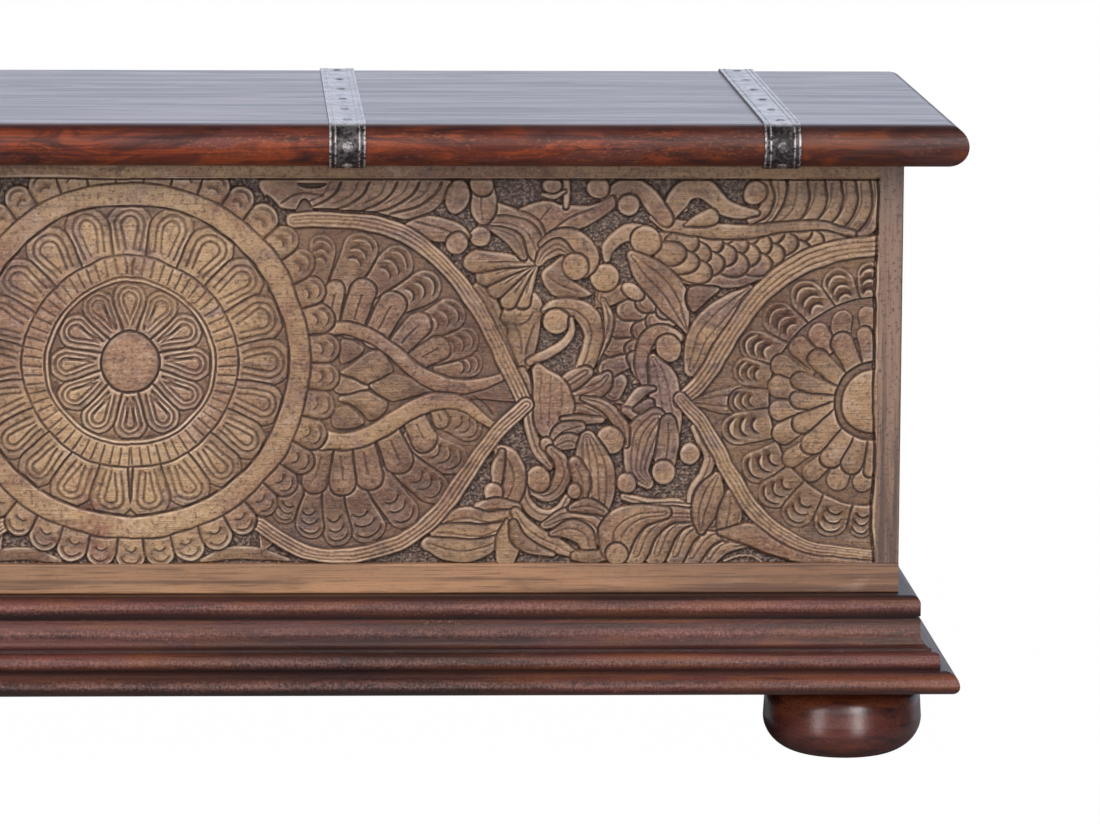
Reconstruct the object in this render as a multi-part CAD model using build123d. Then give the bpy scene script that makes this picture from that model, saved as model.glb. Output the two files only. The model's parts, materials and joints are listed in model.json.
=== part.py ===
from build123d import *
import math
import os

# A damchiya chest: a long, low storage chest on bun feet, with a carved front, a moulded plinth
# and a hinged lid bound with iron straps.
# Millimetres. +X runs along the chest, +Y to its back and +Z up. The origin is on the floor,
# under the middle of the chest. Left and right are as seen from the front.

# ---- Lid: planks edge to edge, with a round nose on all four sides
lid_length = 1197.0
lid_depth = 450.0
lid_thickness = 30.5
lid_overhang = 43.5              # from the case out to the lid's front and back edges
lid_end_overhang = 42.0          # from the case out to the lid's ends
plank_count = 4
batten_width = 40.0
batten_thickness = 18.0
batten_clearance = 8.0           # between a batten's ends and the front board or back panel
batten_inset = 156.5             # from the case's end to the middle of an outer batten

# ---- Case: corner posts on a sill frame of four rails, with boards let into the posts
case_height = 314.0              # from the plinth to the lid
rail_height = 22.0
rail_depth = 45.0
post_width = 45.0                # along X
post_depth = 60.0                # along Y
front_nose = 17.0                # what shows of a post beside the front board
side_nose = 40.0                 # what shows of a post beside a side panel
front_board_thickness = 22.0
side_panel_thickness = 18.0
back_panel_thickness = 20.0
floor_thickness = 15.0
floor_board_count = 3
bearer_width = 50.0
bearer_spacing = 380.0
joint_gap = 0.1                  # round tenons and at the ends of boards
floor_gap = 0.5                  # between the floor and the walls
tenon_side = 20.0                # a post's square stub tenon
tenon_height = 12.0
rail_tenon_length = 9.0
rail_tenon_width = 25.0
rail_tenon_height = 10.0
bearer_lap = 12.0                # a bearer's tongue, let into the top of a rail
edge_round = 1.5                 # the eased edges of the front rail and the posts

# ---- Plinth: three mouldings stacked, mitred at the corners. Reaches are measured from the case.
plinth_land = 18.5               # how far the mouldings run in under the case
bead_reach = 15.0
bead_height = 14.8
bead_round = 6.0
fillet_reach = 12.5              # the sunk fillet under the bead
fillet_height = 2.0
cove_reach = 15.0                # the face above the hollow
cove_face = 8.1
hollow_height = 12.1
lip_reach = 22.5                 # the lip under the hollow
lip_height = 2.2
ovolo_reach = 28.5
ovolo_height = 12.6
ovolo_round = 4.5
base_reach = 41.5
base_thickness = 16.5
base_lower_round = 6.0

# ---- Feet
foot_height = 55.0
foot_radius = 58.0
foot_sole_radius = 26.0
foot_belly_height = 27.0         # where the foot is widest
foot_neck_radius = 57.0          # where the shoulder starts
foot_shoulder = 11.5             # the round of the shoulder
foot_inset = 78.0                # from the plinth's edge to the foot's centre, along X and along Y
spigot_radius = 12.5
spigot_length = 30.0
spigot_clearance = 0.1
corner_block_side = 60.0

# ---- Iron straps over the lid
strap_count = 4
strap_inset = 133.5              # from the lid's end to the middle of an outer strap
strap_width = 26.0
strap_thickness = 1.5
strap_tail = 11.0                # how far a strap runs back under the lid
ridge_width = 2.0
ridge_height = 0.35
ridge_step = 3.6                 # from one pressed ridge to the next
nail_head_radius = 4.0
nail_head_height = 1.1
nail_shank = 2.4
nail_length = 16.0
nail_clearance = 0.05
nail_pitch = 79.0
nails_on_top = 6
first_nail = 10.0                # from the end of the lid's flat top
low_nail_angle = 58.0            # the lower nail on the front nose, below level

# ---- Hinges: butts let into the back panel and the lid, with the barrel behind the case
hinge_inset = 156.5              # from the case's end to the middle of an outer hinge
hinge_length = 75.0
hinge_knuckles = 5
knuckle_gap = 0.4
barrel_radius = 5.5
barrel_clearance = 0.5           # between the barrel and the case, and the barrel and the lid
leaf_thickness = 2.0
leaf_reach = 24.0                # from the pin out to the leaf's far edge
pin_radius = 2.0
pin_clearance = 0.05
pin_head_radius = 3.6
pin_head_height = 1.5
screws_per_leaf = 3
screw_radius = 1.6
screw_head_radius = 3.2
screw_head_height = 1.9
hinge_screw_length = 16.0
batten_screw_length = 30.0
screw_clearance = 0.05
screw_sink = 0.1                 # how far a screw's head lies below the face

# ---- Carving on the front board
relief_depth = 6.0               # from the face of the board down to the ground of the carving
top_margin = 12.0                # plain strip above the carving
field_border = 1.2               # sunk line round the carving
band_relief = 5.0                # height of the bands over the ground
petal_relief = 4.0
ring_relief = 3.2
medallion_lift = 147.0           # from the bottom rail up to the medallion's centre
hub_radius = 21.0
hub_petals = 12
hub_petal_length = 34.0
collar_width = 16.0              # the ring of notches round the inner petals
sun_petals = 20
sun_petal_length = 36.0
band_width = 15.5
scallop_count = 42
scallop_length = 22.5
end_medallion_lift = 118.0
end_hub_radius = 25.0
end_petals = 9
end_petal_length = 22.0
end_beads = 12
end_bead_length = 20.0
side_band_width = 12.0           # the bands round the leaf-shaped and the end medallions
ribbon_width = 12.0              # the two ribbons inside a leaf-shaped medallion
side_petals = 8                  # along each band
side_petal_length = 26.0
ribbon_fingers = 6               # along each ribbon
finger_length = 26.0
row_taper = 0.5                  # the width of a petal's root in a row, as a share of its tip's
groove = 1.2                     # the cut between two carved forms

# The curves of the carving's right half. Points are (x, height above the bottom rail).
# A band or ribbon also gives the shares of its length between which petals stand beside it.
side_bands = (
    (((98, 247), (130, 251), (160, 249), (215, 229), (250, 185), (283, 117)), 0.16, 0.88),
    (((284, 115), (252, 79), (208, 24), (145, 6), (92, 28)), 0.12, 0.92),
    (((397, 120), (428, 159), (458, 200), (500, 225), (541, 232)), 0.1, 0.97),
    (((541, 5), (492, 12), (446, 47), (420, 92), (397, 121)), 0.03, 0.9),
)
ribbons = (
    (((270, 136), (232, 130), (200, 144), (170, 166), (143, 171)), 0.35, 1.0),
    (((139, 91), (169, 93), (206, 115), (240, 116), (264, 98)), 0.0, 0.65),
)
scrolls = (
    ((341, 264), (357, 274), (373, 267), (384, 251)),
    ((384, 255), (398, 272), (415, 271), (430, 260), (452, 258)),
    ((300, 237), (314, 236), (326, 226), (327, 214)),
    ((328, 140), (334, 164), (326, 181), (304, 187)),
    ((378, 119), (369, 145), (373, 162), (388, 168)),
    ((402, 119), (418, 86), (414, 64), (406, 43)),
    ((284, 119), (288, 103), (302, 70)),
    ((305, 83), (313, 64), (302, 50), (290, 52)),
    ((330, 118), (348, 108), (357, 88)),
    ((250, 263), (272, 257), (290, 243), (298, 226)),
)
scroll_width = 8.0
# Each knob as x, height and radius
knobs = (
    (341, 208, 10.5), (303, 274, 8), (336, 274, 8.5), (252, 238, 8), (253, 275, 9), (235, 234, 8.5),
    (320, 216, 10), (309, 176, 10), (358, 262, 9), (450, 271, 8.5), (371, 235, 11.5), (387, 158, 9.5),
    (385, 67, 9), (405, 81, 8.5), (358, 60, 8), (347, 90, 11), (295, 61, 10), (262, 52, 7.5), (350, 10, 8),
)
# Each leaf as root x, root height, tip x, tip height and width
leaves = (
    (152, 277, 116, 256, 13), (173, 277, 138, 254, 13), (193, 279, 162, 253, 13), (210, 278, 178, 252, 13),
    (224, 273, 190, 253, 12), (467, 277, 456, 245, 12), (480, 277, 466, 245, 12), (493, 277, 476, 244, 12),
    (505, 277, 489, 244, 12), (515, 277, 500, 243, 12), (526, 277, 512, 240, 11), (536, 279, 526, 240, 11),
    (364, 220, 402, 165, 20), (404, 142, 438, 200, 21), (284, 119, 290, 212, 24), (303, 139, 303, 86, 28),
    (337, 44, 331, 84, 22), (379, 106, 366, 60, 22), (296, 218, 244, 214, 18), (374, 222, 514, 236, 38),
    (372, 179, 352, 165, 14), (368, 161, 350, 152, 13), (360, 197, 345, 179, 14), (392, 185, 377, 171, 14),
    (276, 42, 226, 32, 11), (272, 27, 218, 14, 13), (455, 18, 418, 6, 13), (432, 28, 404, 7, 14),
    (416, 31, 391, 7, 14), (402, 34, 377, 8, 14), (388, 36, 363, 8, 14), (412, 27, 424, 64, 16),
    (433, 19, 434, 52, 13), (430, 23, 532, 2, 13), (268, 44, 323, 5, 9), (292, 252, 342, 264, 16),
    (236, 254, 206, 240, 18), (312, 22, 333, 28, 14), (318, 66, 324, 40, 10), (384, 222, 452, 241, 10),
)

# ---- Worked out from the values above
half_length = lid_length / 2 - lid_end_overhang
half_depth = lid_depth / 2 - lid_overhang
base_bottom = foot_height
base_top = base_bottom + base_thickness
cove_height = ovolo_height + lip_height + hollow_height + cove_face
cove_top = base_top + cove_height
bead_total = fillet_height + bead_height
case_bottom = cove_top + bead_total
rail_top = case_bottom + rail_height
case_top = case_bottom + case_height
lid_top = case_top + lid_thickness
nose_radius = lid_thickness / 2
floor_top = rail_top + floor_thickness
front_inside = -half_depth + front_board_thickness
back_inside = half_depth - back_panel_thickness
side_inside = half_length - side_panel_thickness
hinge_axis = half_depth + barrel_clearance + barrel_radius
outer_strap = lid_length / 2 - strap_inset
straps = [outer_strap * (2 * n / (strap_count - 1) - 1) for n in range(strap_count)]
outer_hinge = half_length - hinge_inset
hinges = {"left": -outer_hinge, "middle": 0.0, "right": outer_hinge}
outer_batten = half_length - batten_inset
battens = {"left": -outer_batten, "middle": 0.0, "right": outer_batten}


def block(x, y, z):
    """A box between two values on each axis."""
    size = [high - low for low, high in (x, y, z)]
    middle = [(low + high) / 2 for low, high in (x, y, z)]
    return Pos(*middle) * Box(*size)


# ---- Screws and nails: each has a solid and a slightly larger cutter for its hole
def screw(length, extra=0.0):
    """A countersunk screw along -Z with its head at the origin; extra widens it into a cutter."""
    head, shank = screw_head_radius + extra, screw_radius + extra
    profile = Polyline(
        (0, extra), (head, extra), (shank, -screw_head_height), (shank, -length - extra), (0, -length - extra),
        close=True,
    )
    return revolve(Plane.XZ * make_face(profile), Axis.Z)


def nail(extra=0.0):
    """A forged nail along -Z: faceted head on the strap, square shank. extra gives the shank's cutter."""
    shank = Box(nail_shank + 2 * extra, nail_shank + 2 * extra, nail_length + extra)
    shank = Pos(0, 0, -(nail_length + extra) / 2) * shank
    if extra:
        return shank
    rim = RegularPolygon(nail_head_radius, 8)
    crown = Pos(0, 0, nail_head_height) * RegularPolygon(nail_head_radius * 0.45, 8)
    return shank + loft([rim.face(), crown.face()])


# ---- Lid
def round_nosed_slab():
    """The whole lid: two round-nosed outlines crossed, so that the noses meet in mitres."""
    along = extrude(Plane.YZ * SlotOverall(lid_depth, lid_thickness), lid_length / 2, both=True)
    across = extrude(Plane.XZ * SlotOverall(lid_length, lid_thickness), lid_depth / 2, both=True)
    return Pos(0, 0, case_top + nose_radius) * (along & across)


def strap_section(outward):
    """The strap's outline round the lid in the YZ plane, this thick, open under the lid."""
    ring = SlotOverall(lid_depth + 2 * outward, lid_thickness + 2 * outward)
    ring -= SlotOverall(lid_depth, lid_thickness)
    open_half = lid_depth / 2 - nose_radius - strap_tail
    below = Pos(0, -lid_thickness) * Rectangle(2 * open_half, 2 * lid_thickness)
    return Plane.YZ * (Pos(0, case_top + nose_radius) * (ring - below))


def strap(x):
    """A pressed iron strap: a flat band with two ridges along each edge."""
    band = extrude(strap_section(strap_thickness), strap_width / 2, both=True)
    ridge = extrude(strap_section(strap_thickness + ridge_height), ridge_width / 2, both=True)
    outer = (strap_width - ridge_width) / 2
    for offset in (outer, outer - ridge_step):
        band += Pos(offset, 0, 0) * ridge
        band += Pos(-offset, 0, 0) * ridge
    return Pos(x, 0, 0) * band


def strap_nail_places(x):
    """Where the nails of one strap stand, each place with its Z axis out of the strap."""
    top = lid_top + strap_thickness
    middle = case_top + nose_radius
    turn_centre = lid_depth / 2 - nose_radius
    out = nose_radius + strap_thickness
    places = []
    for n in range(nails_on_top):
        y = -turn_centre + first_nail + n * nail_pitch
        if y < turn_centre:
            places.append(Pos(x, y, top))
    front_turn = Pos(x, -turn_centre, middle)
    places.append(front_turn * Rot(90, 0, 0) * Pos(0, 0, out))
    places.append(front_turn * Rot(90 + low_nail_angle, 0, 0) * Pos(0, 0, out))
    places.append(Pos(x, turn_centre, middle) * Rot(-90, 0, 0) * Pos(0, 0, out))
    return places


def lid_batten(x):
    """A batten across the underside of the lid, clear of the case's walls."""
    y = (front_inside + batten_clearance, back_inside - batten_clearance)
    return block((x - batten_width / 2, x + batten_width / 2), y, (case_top - batten_thickness, case_top))


def batten_screw_places():
    """One screw up through each batten into each plank that it crosses."""
    plank_width = lid_depth / plank_count
    low = front_inside + batten_clearance
    high = back_inside - batten_clearance
    places = []
    for x in battens.values():
        for n in range(plank_count):
            first = max(low, -lid_depth / 2 + n * plank_width)
            last = min(high, -lid_depth / 2 + (n + 1) * plank_width)
            place = Pos(x, (first + last) / 2, case_top - batten_thickness + screw_sink)
            places.append(place * Rot(180, 0, 0))
    return places


# ---- Hinges
def knuckle_spans(own):
    """The stretches of barrel of one leaf along X: the case has the odd knuckles, the lid the others."""
    length = (hinge_length - (hinge_knuckles - 1) * knuckle_gap) / hinge_knuckles
    starts = [-hinge_length / 2 + n * (length + knuckle_gap) for n in range(hinge_knuckles)]
    first = 0 if own == "case" else 1
    return [(start, start + length) for start in starts[first::2]]


def leaf_span(own):
    """A leaf's lowest and highest Z: the case leaf lies under the joint, the lid leaf over it."""
    return (case_top - leaf_thickness, case_top) if own == "case" else (case_top, case_top + leaf_thickness)


def leaf_plate(own, x):
    plate = (hinge_axis - leaf_reach, hinge_axis - barrel_radius - barrel_clearance)
    return block((x - hinge_length / 2, x + hinge_length / 2), plate, leaf_span(own))


def hinge_leaf(own, x):
    """A leaf with its knuckles, bored for the pin and countersunk for its screws."""
    leaf = leaf_plate(own, x)
    for start, end in knuckle_spans(own):
        middle = x + (start + end) / 2
        barrel = Pos(middle, hinge_axis, case_top) * Rot(0, 90, 0) * Cylinder(barrel_radius, end - start)
        web = (hinge_axis - barrel_radius - barrel_clearance, hinge_axis)
        leaf += barrel + block((x + start, x + end), web, leaf_span(own))
    bore = Pos(x, hinge_axis, case_top) * Rot(0, 90, 0) * Cylinder(pin_radius + pin_clearance, 2 * hinge_length)
    leaf -= bore
    for place in leaf_screw_places(own, x):
        leaf -= place * screw(hinge_screw_length, screw_clearance)
    return leaf


def leaf_screw_places(own, x):
    """Screws in a row along the leaf, each with its head on the face between the two leaves."""
    y = hinge_axis - (leaf_reach + barrel_radius + barrel_clearance) / 2
    pitch = hinge_length / screws_per_leaf
    turn, sink = (0, -screw_sink) if own == "case" else (180, screw_sink)
    return [
        Pos(x + (n - (screws_per_leaf - 1) / 2) * pitch, y, case_top + sink) * Rot(turn, 0, 0)
        for n in range(screws_per_leaf)
    ]


def hinge_pin(x):
    """The pin with a head at each end of the barrel."""
    half = hinge_length / 2 + knuckle_gap
    profile = Polyline(
        (0, 0), (0, half + pin_head_height), (pin_head_radius * 0.6, half + pin_head_height),
        (pin_head_radius, half), (pin_radius, half), (pin_radius, 0), close=True,
    )
    half_pin = revolve(Plane.XZ * make_face(profile), Axis.Z)
    pin = half_pin + Rot(180, 0, 0) * half_pin
    return Pos(x, hinge_axis, case_top) * Rot(0, 90, 0) * pin


def barrel_pocket(x):
    """The hollow under the lid that lets the barrel turn."""
    half = hinge_length / 2 + knuckle_gap + pin_head_height + barrel_clearance
    pocket = Cylinder(barrel_radius + barrel_clearance, 2 * half)
    return Pos(x, hinge_axis, case_top) * Rot(0, 90, 0) * pocket


# ---- Plinth
def bead_profile():
    """Sunk fillet, then a bead with a round top edge, in (reach, height)."""
    shoulder = bead_total - bead_round
    line = Polyline(
        (-plinth_land, bead_total), (-plinth_land, 0), (fillet_reach, 0), (fillet_reach, fillet_height),
        (bead_reach, fillet_height), (bead_reach, shoulder),
    )
    line += TangentArc((bead_reach, shoulder), (bead_reach - bead_round, bead_total), tangent=(0, 1))
    line += Line((bead_reach - bead_round, bead_total), (-plinth_land, bead_total))
    return make_face(line)


def cove_profile():
    """Ovolo at the foot, a small lip, a hollow and a plain face over it."""
    shoulder = ovolo_height - ovolo_round
    lip_top = ovolo_height + lip_height
    hollow_top = lip_top + hollow_height
    line = Polyline(
        (-plinth_land, cove_height), (-plinth_land, 0), (ovolo_reach, 0), (ovolo_reach, shoulder),
    )
    line += TangentArc((ovolo_reach, shoulder), (ovolo_reach - ovolo_round, ovolo_height), tangent=(0, 1))
    line += Line((ovolo_reach - ovolo_round, ovolo_height), (lip_reach, ovolo_height))
    line += Line((lip_reach, ovolo_height), (lip_reach, lip_top))
    line += EllipticalCenterArc(
        (lip_reach, hollow_top), lip_reach - cove_reach, hollow_height, start_angle=180, arc_size=90,
    )
    line += Polyline((cove_reach, hollow_top), (cove_reach, cove_height), (-plinth_land, cove_height))
    return make_face(line)


def base_profile():
    """A flat slab with a round nose, fuller above than below."""
    upper = base_thickness - base_lower_round
    line = Polyline((base_reach - upper, base_thickness), (-plinth_land, base_thickness), (-plinth_land, 0))
    line += Line((-plinth_land, 0), (base_reach - base_lower_round, 0))
    nose = (base_reach, base_lower_round)
    line += TangentArc((base_reach - base_lower_round, 0), nose, tangent=(1, 0))
    line += TangentArc(nose, (base_reach - upper, base_thickness), tangent=(0, 1))
    return make_face(line)


def mitred_run(profile, reach, bottom, half_run, half_across):
    """One length of moulding along X in front of a case face at -half_across, mitred at both ends."""
    outline = Plane.YZ * (Pos(-half_across, bottom) * mirror(profile, Plane.YZ))
    bar = extrude(outline, half_run + reach, both=True)
    far, near = half_across + reach, half_across - plinth_land
    plan = Polyline(
        (-half_run - reach, -far), (half_run + reach, -far),
        (half_run - plinth_land, -near), (-half_run + plinth_land, -near), close=True,
    )
    return bar & extrude(make_face(plan), lid_top)


def plinth():
    layers = {
        "base": (base_profile(), base_reach, base_bottom),
        "cove": (cove_profile(), ovolo_reach, base_top),
        "bead": (bead_profile(), bead_reach, cove_top),
    }
    lengths = {}
    for layer, (profile, reach, bottom) in layers.items():
        long_run = mitred_run(profile, reach, bottom, half_length, half_depth)
        short_run = mitred_run(profile, reach, bottom, half_depth, half_length)
        lengths[f"plinth_{layer}_front"] = long_run
        lengths[f"plinth_{layer}_back"] = Rot(0, 0, 180) * long_run
        lengths[f"plinth_{layer}_left"] = Rot(0, 0, -90) * short_run
        lengths[f"plinth_{layer}_right"] = Rot(0, 0, 90) * short_run
    return lengths


# ---- Feet
def bun_foot():
    """A turned bun with a spigot on top, standing on the origin."""
    neck = (foot_neck_radius, foot_height - foot_shoulder)
    crown = (foot_neck_radius - foot_shoulder, foot_height)
    line = Line((0, 0), (foot_sole_radius, 0))
    line += EllipticalCenterArc(
        (foot_sole_radius, foot_belly_height), foot_radius - foot_sole_radius, foot_belly_height,
        start_angle=270, arc_size=90,
    )
    line += Line((foot_radius, foot_belly_height), neck)
    line += TangentArc(neck, crown, tangent=(0, 1))
    spigot_top = foot_height + spigot_length - joint_gap
    line += Polyline(crown, (spigot_radius, foot_height), (spigot_radius, spigot_top), (0, spigot_top), (0, 0))
    return revolve(Plane.XZ * make_face(line), Axis.Z)


def corner_block():
    """The block inside the plinth's corner that takes the foot's spigot, for the front right corner."""
    corner_x, corner_y = half_length - plinth_land, half_depth - plinth_land
    body = block(
        (corner_x - corner_block_side, corner_x), (-corner_y, -corner_y + corner_block_side),
        (base_bottom, case_bottom),
    )
    bore = Pos(foot_x, -foot_y, base_bottom + spigot_length / 2)
    return body - bore * Cylinder(spigot_radius + spigot_clearance, spigot_length)


foot_x = half_length + base_reach - foot_inset
foot_y = half_depth + base_reach - foot_inset


# ---- Case
def corner_post(board_thickness):
    """The front right post: rabbets for a board this thick and for the side panel, a tenon below."""
    low_x, low_y = half_length - post_width, -half_depth
    post = block((low_x, half_length), (low_y, low_y + post_depth), (rail_top, case_top))
    corner = post.edges().filter_by(Axis.Z).sort_by(Axis.X)[-2:].sort_by(Axis.Y)[0]
    post = fillet(corner, edge_round)
    tenon_x, tenon_y = low_x + post_width / 2, low_y + rail_depth / 2
    half = tenon_side / 2
    post += block(
        (tenon_x - half, tenon_x + half), (tenon_y - half, tenon_y + half),
        (rail_top - tenon_height + joint_gap, rail_top),
    )
    tall = (rail_top, case_top)
    post -= block((low_x, half_length - front_nose), (low_y, low_y + board_thickness), tall)
    post -= block((side_inside, half_length), (low_y + side_nose, low_y + post_depth), tall)
    return post


def long_rail():
    """The front bottom rail, mortised for posts and side rails and notched for the bearers."""
    rail = block((-half_length, half_length), (-half_depth, -half_depth + rail_depth), (case_bottom, rail_top))
    rail = fillet(rail.edges().filter_by(Axis.X).group_by(Axis.Y)[0], edge_round)
    inner = -half_depth + rail_depth
    tenon_x = half_length - post_width / 2
    tenon_y = -half_depth + rail_depth / 2
    half_hole = tenon_side / 2 + joint_gap
    middle = case_bottom + rail_height / 2
    for side in (-1, 1):
        rail -= block(
            (side * tenon_x - half_hole, side * tenon_x + half_hole), (tenon_y - half_hole, tenon_y + half_hole),
            (rail_top - tenon_height, rail_top),
        )
        side_rail_x = side * (half_length - rail_depth / 2)
        half_width = rail_tenon_width / 2 + joint_gap
        half_high = rail_tenon_height / 2 + joint_gap
        rail -= block(
            (side_rail_x - half_width, side_rail_x + half_width), (inner - rail_tenon_length - joint_gap, inner),
            (middle - half_high, middle + half_high),
        )
        bearer_x = side * bearer_spacing / 2
        half_notch = bearer_width / 2 + joint_gap
        rail -= block(
            (bearer_x - half_notch, bearer_x + half_notch), (inner - bearer_lap, inner), (middle, rail_top),
        )
    return rail


def side_rail():
    """The right bottom rail, between the front and back rails, with a stub tenon at each end."""
    half_run = half_depth - rail_depth
    rail = block((half_length - rail_depth, half_length), (-half_run, half_run), (case_bottom, rail_top))
    x = half_length - rail_depth / 2
    middle = case_bottom + rail_height / 2
    return rail + block(
        (x - rail_tenon_width / 2, x + rail_tenon_width / 2),
        (-half_run - rail_tenon_length, half_run + rail_tenon_length),
        (middle - rail_tenon_height / 2, middle + rail_tenon_height / 2),
    )


def floor_bearer(x):
    """A bearer between the long rails, its tongues let into their tops."""
    half_run = half_depth - rail_depth
    middle = case_bottom + rail_height / 2
    width = (x - bearer_width / 2, x + bearer_width / 2)
    bearer = block(width, (-half_run, half_run), (case_bottom, rail_top))
    reach = half_run + bearer_lap - joint_gap
    return bearer + block(width, (-reach, reach), (middle, rail_top))


def floor_boards():
    """The floor, notched round the posts and cut into boards along the chest."""
    low_y, high_y = front_inside + floor_gap, back_inside - floor_gap
    half_run = side_inside - floor_gap
    whole = block((-half_run, half_run), (low_y, high_y), (rail_top, floor_top))
    post_x = half_length - post_width - floor_gap
    post_y = half_depth - post_depth - floor_gap
    for side_x in (-1, 1):
        for side_y in (-1, 1):
            corner_x = sorted((side_x * post_x, side_x * half_length))
            corner_y = sorted((side_y * post_y, side_y * half_depth))
            whole -= block(corner_x, corner_y, (case_bottom, case_top))
    width = (high_y - low_y) / floor_board_count
    return [
        whole & block((-half_length, half_length), (low_y + n * width, low_y + (n + 1) * width), (0, case_top))
        for n in range(floor_board_count)
    ]


def side_panel():
    half_run = half_depth - side_nose - joint_gap
    return block((side_inside, half_length), (-half_run, half_run), (rail_top, case_top))


def back_panel():
    """The back panel, let in along its top for the hinges' case leaves."""
    half_run = half_length - front_nose - joint_gap
    panel = block((-half_run, half_run), (back_inside, half_depth), (rail_top, case_top))
    for x in hinges.values():
        low, high = leaf_span("case")
        half_leaf = hinge_length / 2 + joint_gap
        panel -= block((x - half_leaf, x + half_leaf), (hinge_axis - leaf_reach - joint_gap, half_depth), (low, high))
        for place in leaf_screw_places("case", x):
            panel -= place * screw(hinge_screw_length, screw_clearance)
    return panel


# ---- The carved front board
field_half = half_length - front_nose - joint_gap
field_bottom = rail_top
field_top = case_top - top_margin


def petal(root, tip, length):
    """A petal that stands on its root at the origin, points along +Y and ends in a half round."""
    shoulder = length - tip / 2
    line = Polyline((tip / 2, shoulder), (root / 2, 0), (-root / 2, 0), (-tip / 2, shoulder))
    return make_face(line + ThreePointArc((-tip / 2, shoulder), (0, length), (tip / 2, shoulder)))


def petal_ring(inner, length, count, first=0.0, last=360.0):
    """Petals round the origin from one radius outward, set evenly from one angle to another."""
    step = (last - first) / count
    width = math.radians(step)
    one = petal(width * inner - groove, width * (inner + length / 2) - groove, length)
    return [Rot(0, 0, first + (n + 0.5) * step - 90) * Pos(0, inner) * one for n in range(count)]


def row_places(curve, first, last, count, distance):
    """Places on the right-hand side of a curve, between two shares of its length, each facing it."""
    places = []
    for n in range(count):
        share = first + (last - first) * (n + 0.5) / count
        along = curve % share
        turn = math.degrees(math.atan2(along.Y, along.X))
        places.append(Pos(*(curve @ share)) * Rot(0, 0, turn) * Pos(0, -distance))
    return places


def leaf(root_x, root_y, tip_x, tip_y, width):
    """A leaf between two points, its sides two arcs."""
    root, tip = Vector(root_x, root_y), Vector(tip_x, tip_y)
    side = Vector(root_y - tip_y, tip_x - root_x).normalized() * width / 2
    middle = (root + tip) / 2
    return make_face(ThreePointArc(root, middle + side, tip) + ThreePointArc(tip, middle - side, root))


def ring(inner, width):
    return Circle(inner + width) - Circle(inner)


def raised(faces, height):
    """Faces drawn over the bottom rail, merged and pulled up from the ground of the carving."""
    ground = Plane.XZ.offset(half_depth - relief_depth)
    return extrude(ground * Pos(0, field_bottom) * (Sketch() + faces), height)


def medallion():
    """The round medallion from hub to scallops, and the disc that it takes up."""
    petals = hub_radius + groove
    collar = petals + hub_petal_length + groove
    sun = collar + collar_width + groove
    band = sun + sun_petal_length + groove
    scallops = band + band_width + groove
    rows = petal_ring(petals, hub_petal_length, hub_petals) + petal_ring(sun, sun_petal_length, sun_petals)
    place = Pos(0, medallion_lift)
    low = [place * face for face in petal_ring(scallops, scallop_length, scallop_count)]
    high = [place * face for face in [Circle(hub_radius)] + rows]
    disc = raised([place * Circle(scallops + scallop_length + groove)], relief_depth)
    return disc, [
        raised(low + [place * ring(collar, collar_width)], ring_relief),
        raised(high, petal_relief),
        raised([place * ring(band, band_width)], band_relief),
    ]


def side_medallions():
    """The right half's leaf-shaped medallion and the half medallion at the end of the board."""
    high, low = [], []
    for points, first, last in side_bands:
        line = Spline(*points)
        width = line.length * (last - first) / side_petals - groove
        scallop = petal(width * row_taper, width, side_petal_length)
        distance = side_band_width / 2 + groove + side_petal_length
        high.append(trace(line, side_band_width))
        low += [place * scallop for place in row_places(line, first, last, side_petals, distance)]
    for points, first, last in ribbons:
        line = Spline(*points)
        width = line.length * (last - first) / ribbon_fingers - groove
        finger = Rot(0, 0, 180) * petal(width * row_taper, width, finger_length)
        distance = ribbon_width / 2 + groove
        high.append(trace(line, ribbon_width))
        low += [place * finger for place in row_places(line, first, last, ribbon_fingers, distance)]
    hub = Pos(field_half, end_medallion_lift)
    high.append(hub * Circle(end_hub_radius))
    petals = end_hub_radius + groove
    beads = petals + end_petal_length + groove
    rosette = petal_ring(petals, end_petal_length, end_petals, 90, 270)
    rosette += petal_ring(beads, end_bead_length, end_beads, 90, 270)
    low += [hub * face for face in rosette]
    return [raised(low, petal_relief), raised(high, band_relief)]


def foliage():
    """The scrolls, leaves and knobs that fill the right half between the medallions."""
    faces = [trace(Spline(*points), scroll_width) for points in scrolls]
    faces += [leaf(*values) for values in leaves]
    faces += [Pos(x, y) * Circle(radius) for x, y, radius in knobs]
    return raised(faces, petal_relief)


def front_carved_board():
    """The front board with its ground cut away and the main forms of the carving left standing."""
    board = block((-field_half, field_half), (-half_depth, front_inside), (rail_top, case_top))
    inside = (-field_half + field_border, field_half - field_border)
    field = block(inside, (-half_depth, -half_depth + relief_depth), (field_bottom, field_top))
    disc, middle = medallion()
    right = [form & (field - disc) for form in side_medallions() + [foliage()]]
    left = [mirror(form, Plane.YZ) for form in right]
    return (board - field).fuse(*right, *left, *[form & field for form in middle])


# ---- The parts, by the name of their node
parts = {}
parts["front_carved_board"] = front_carved_board()
parts["back_panel"] = back_panel()
parts["front_bottom_rail"] = long_rail()
parts["back_bottom_rail"] = mirror(parts["front_bottom_rail"], Plane.XZ)
for name, shape in {
    "{}_side_panel": side_panel(),
    "{}_bottom_rail": side_rail(),
    "corner_post_front_{}": corner_post(front_board_thickness),
    "corner_post_back_{}": mirror(corner_post(back_panel_thickness), Plane.XZ),
}.items():
    parts[name.format("right")] = shape
    parts[name.format("left")] = mirror(shape, Plane.YZ)
for name, board in zip(("front", "middle", "back"), floor_boards(), strict=True):
    parts[f"floor_board_{name}"] = board
parts["floor_bearer_left"] = floor_bearer(-bearer_spacing / 2)
parts["floor_bearer_right"] = floor_bearer(bearer_spacing / 2)
parts.update(plinth())

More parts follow.
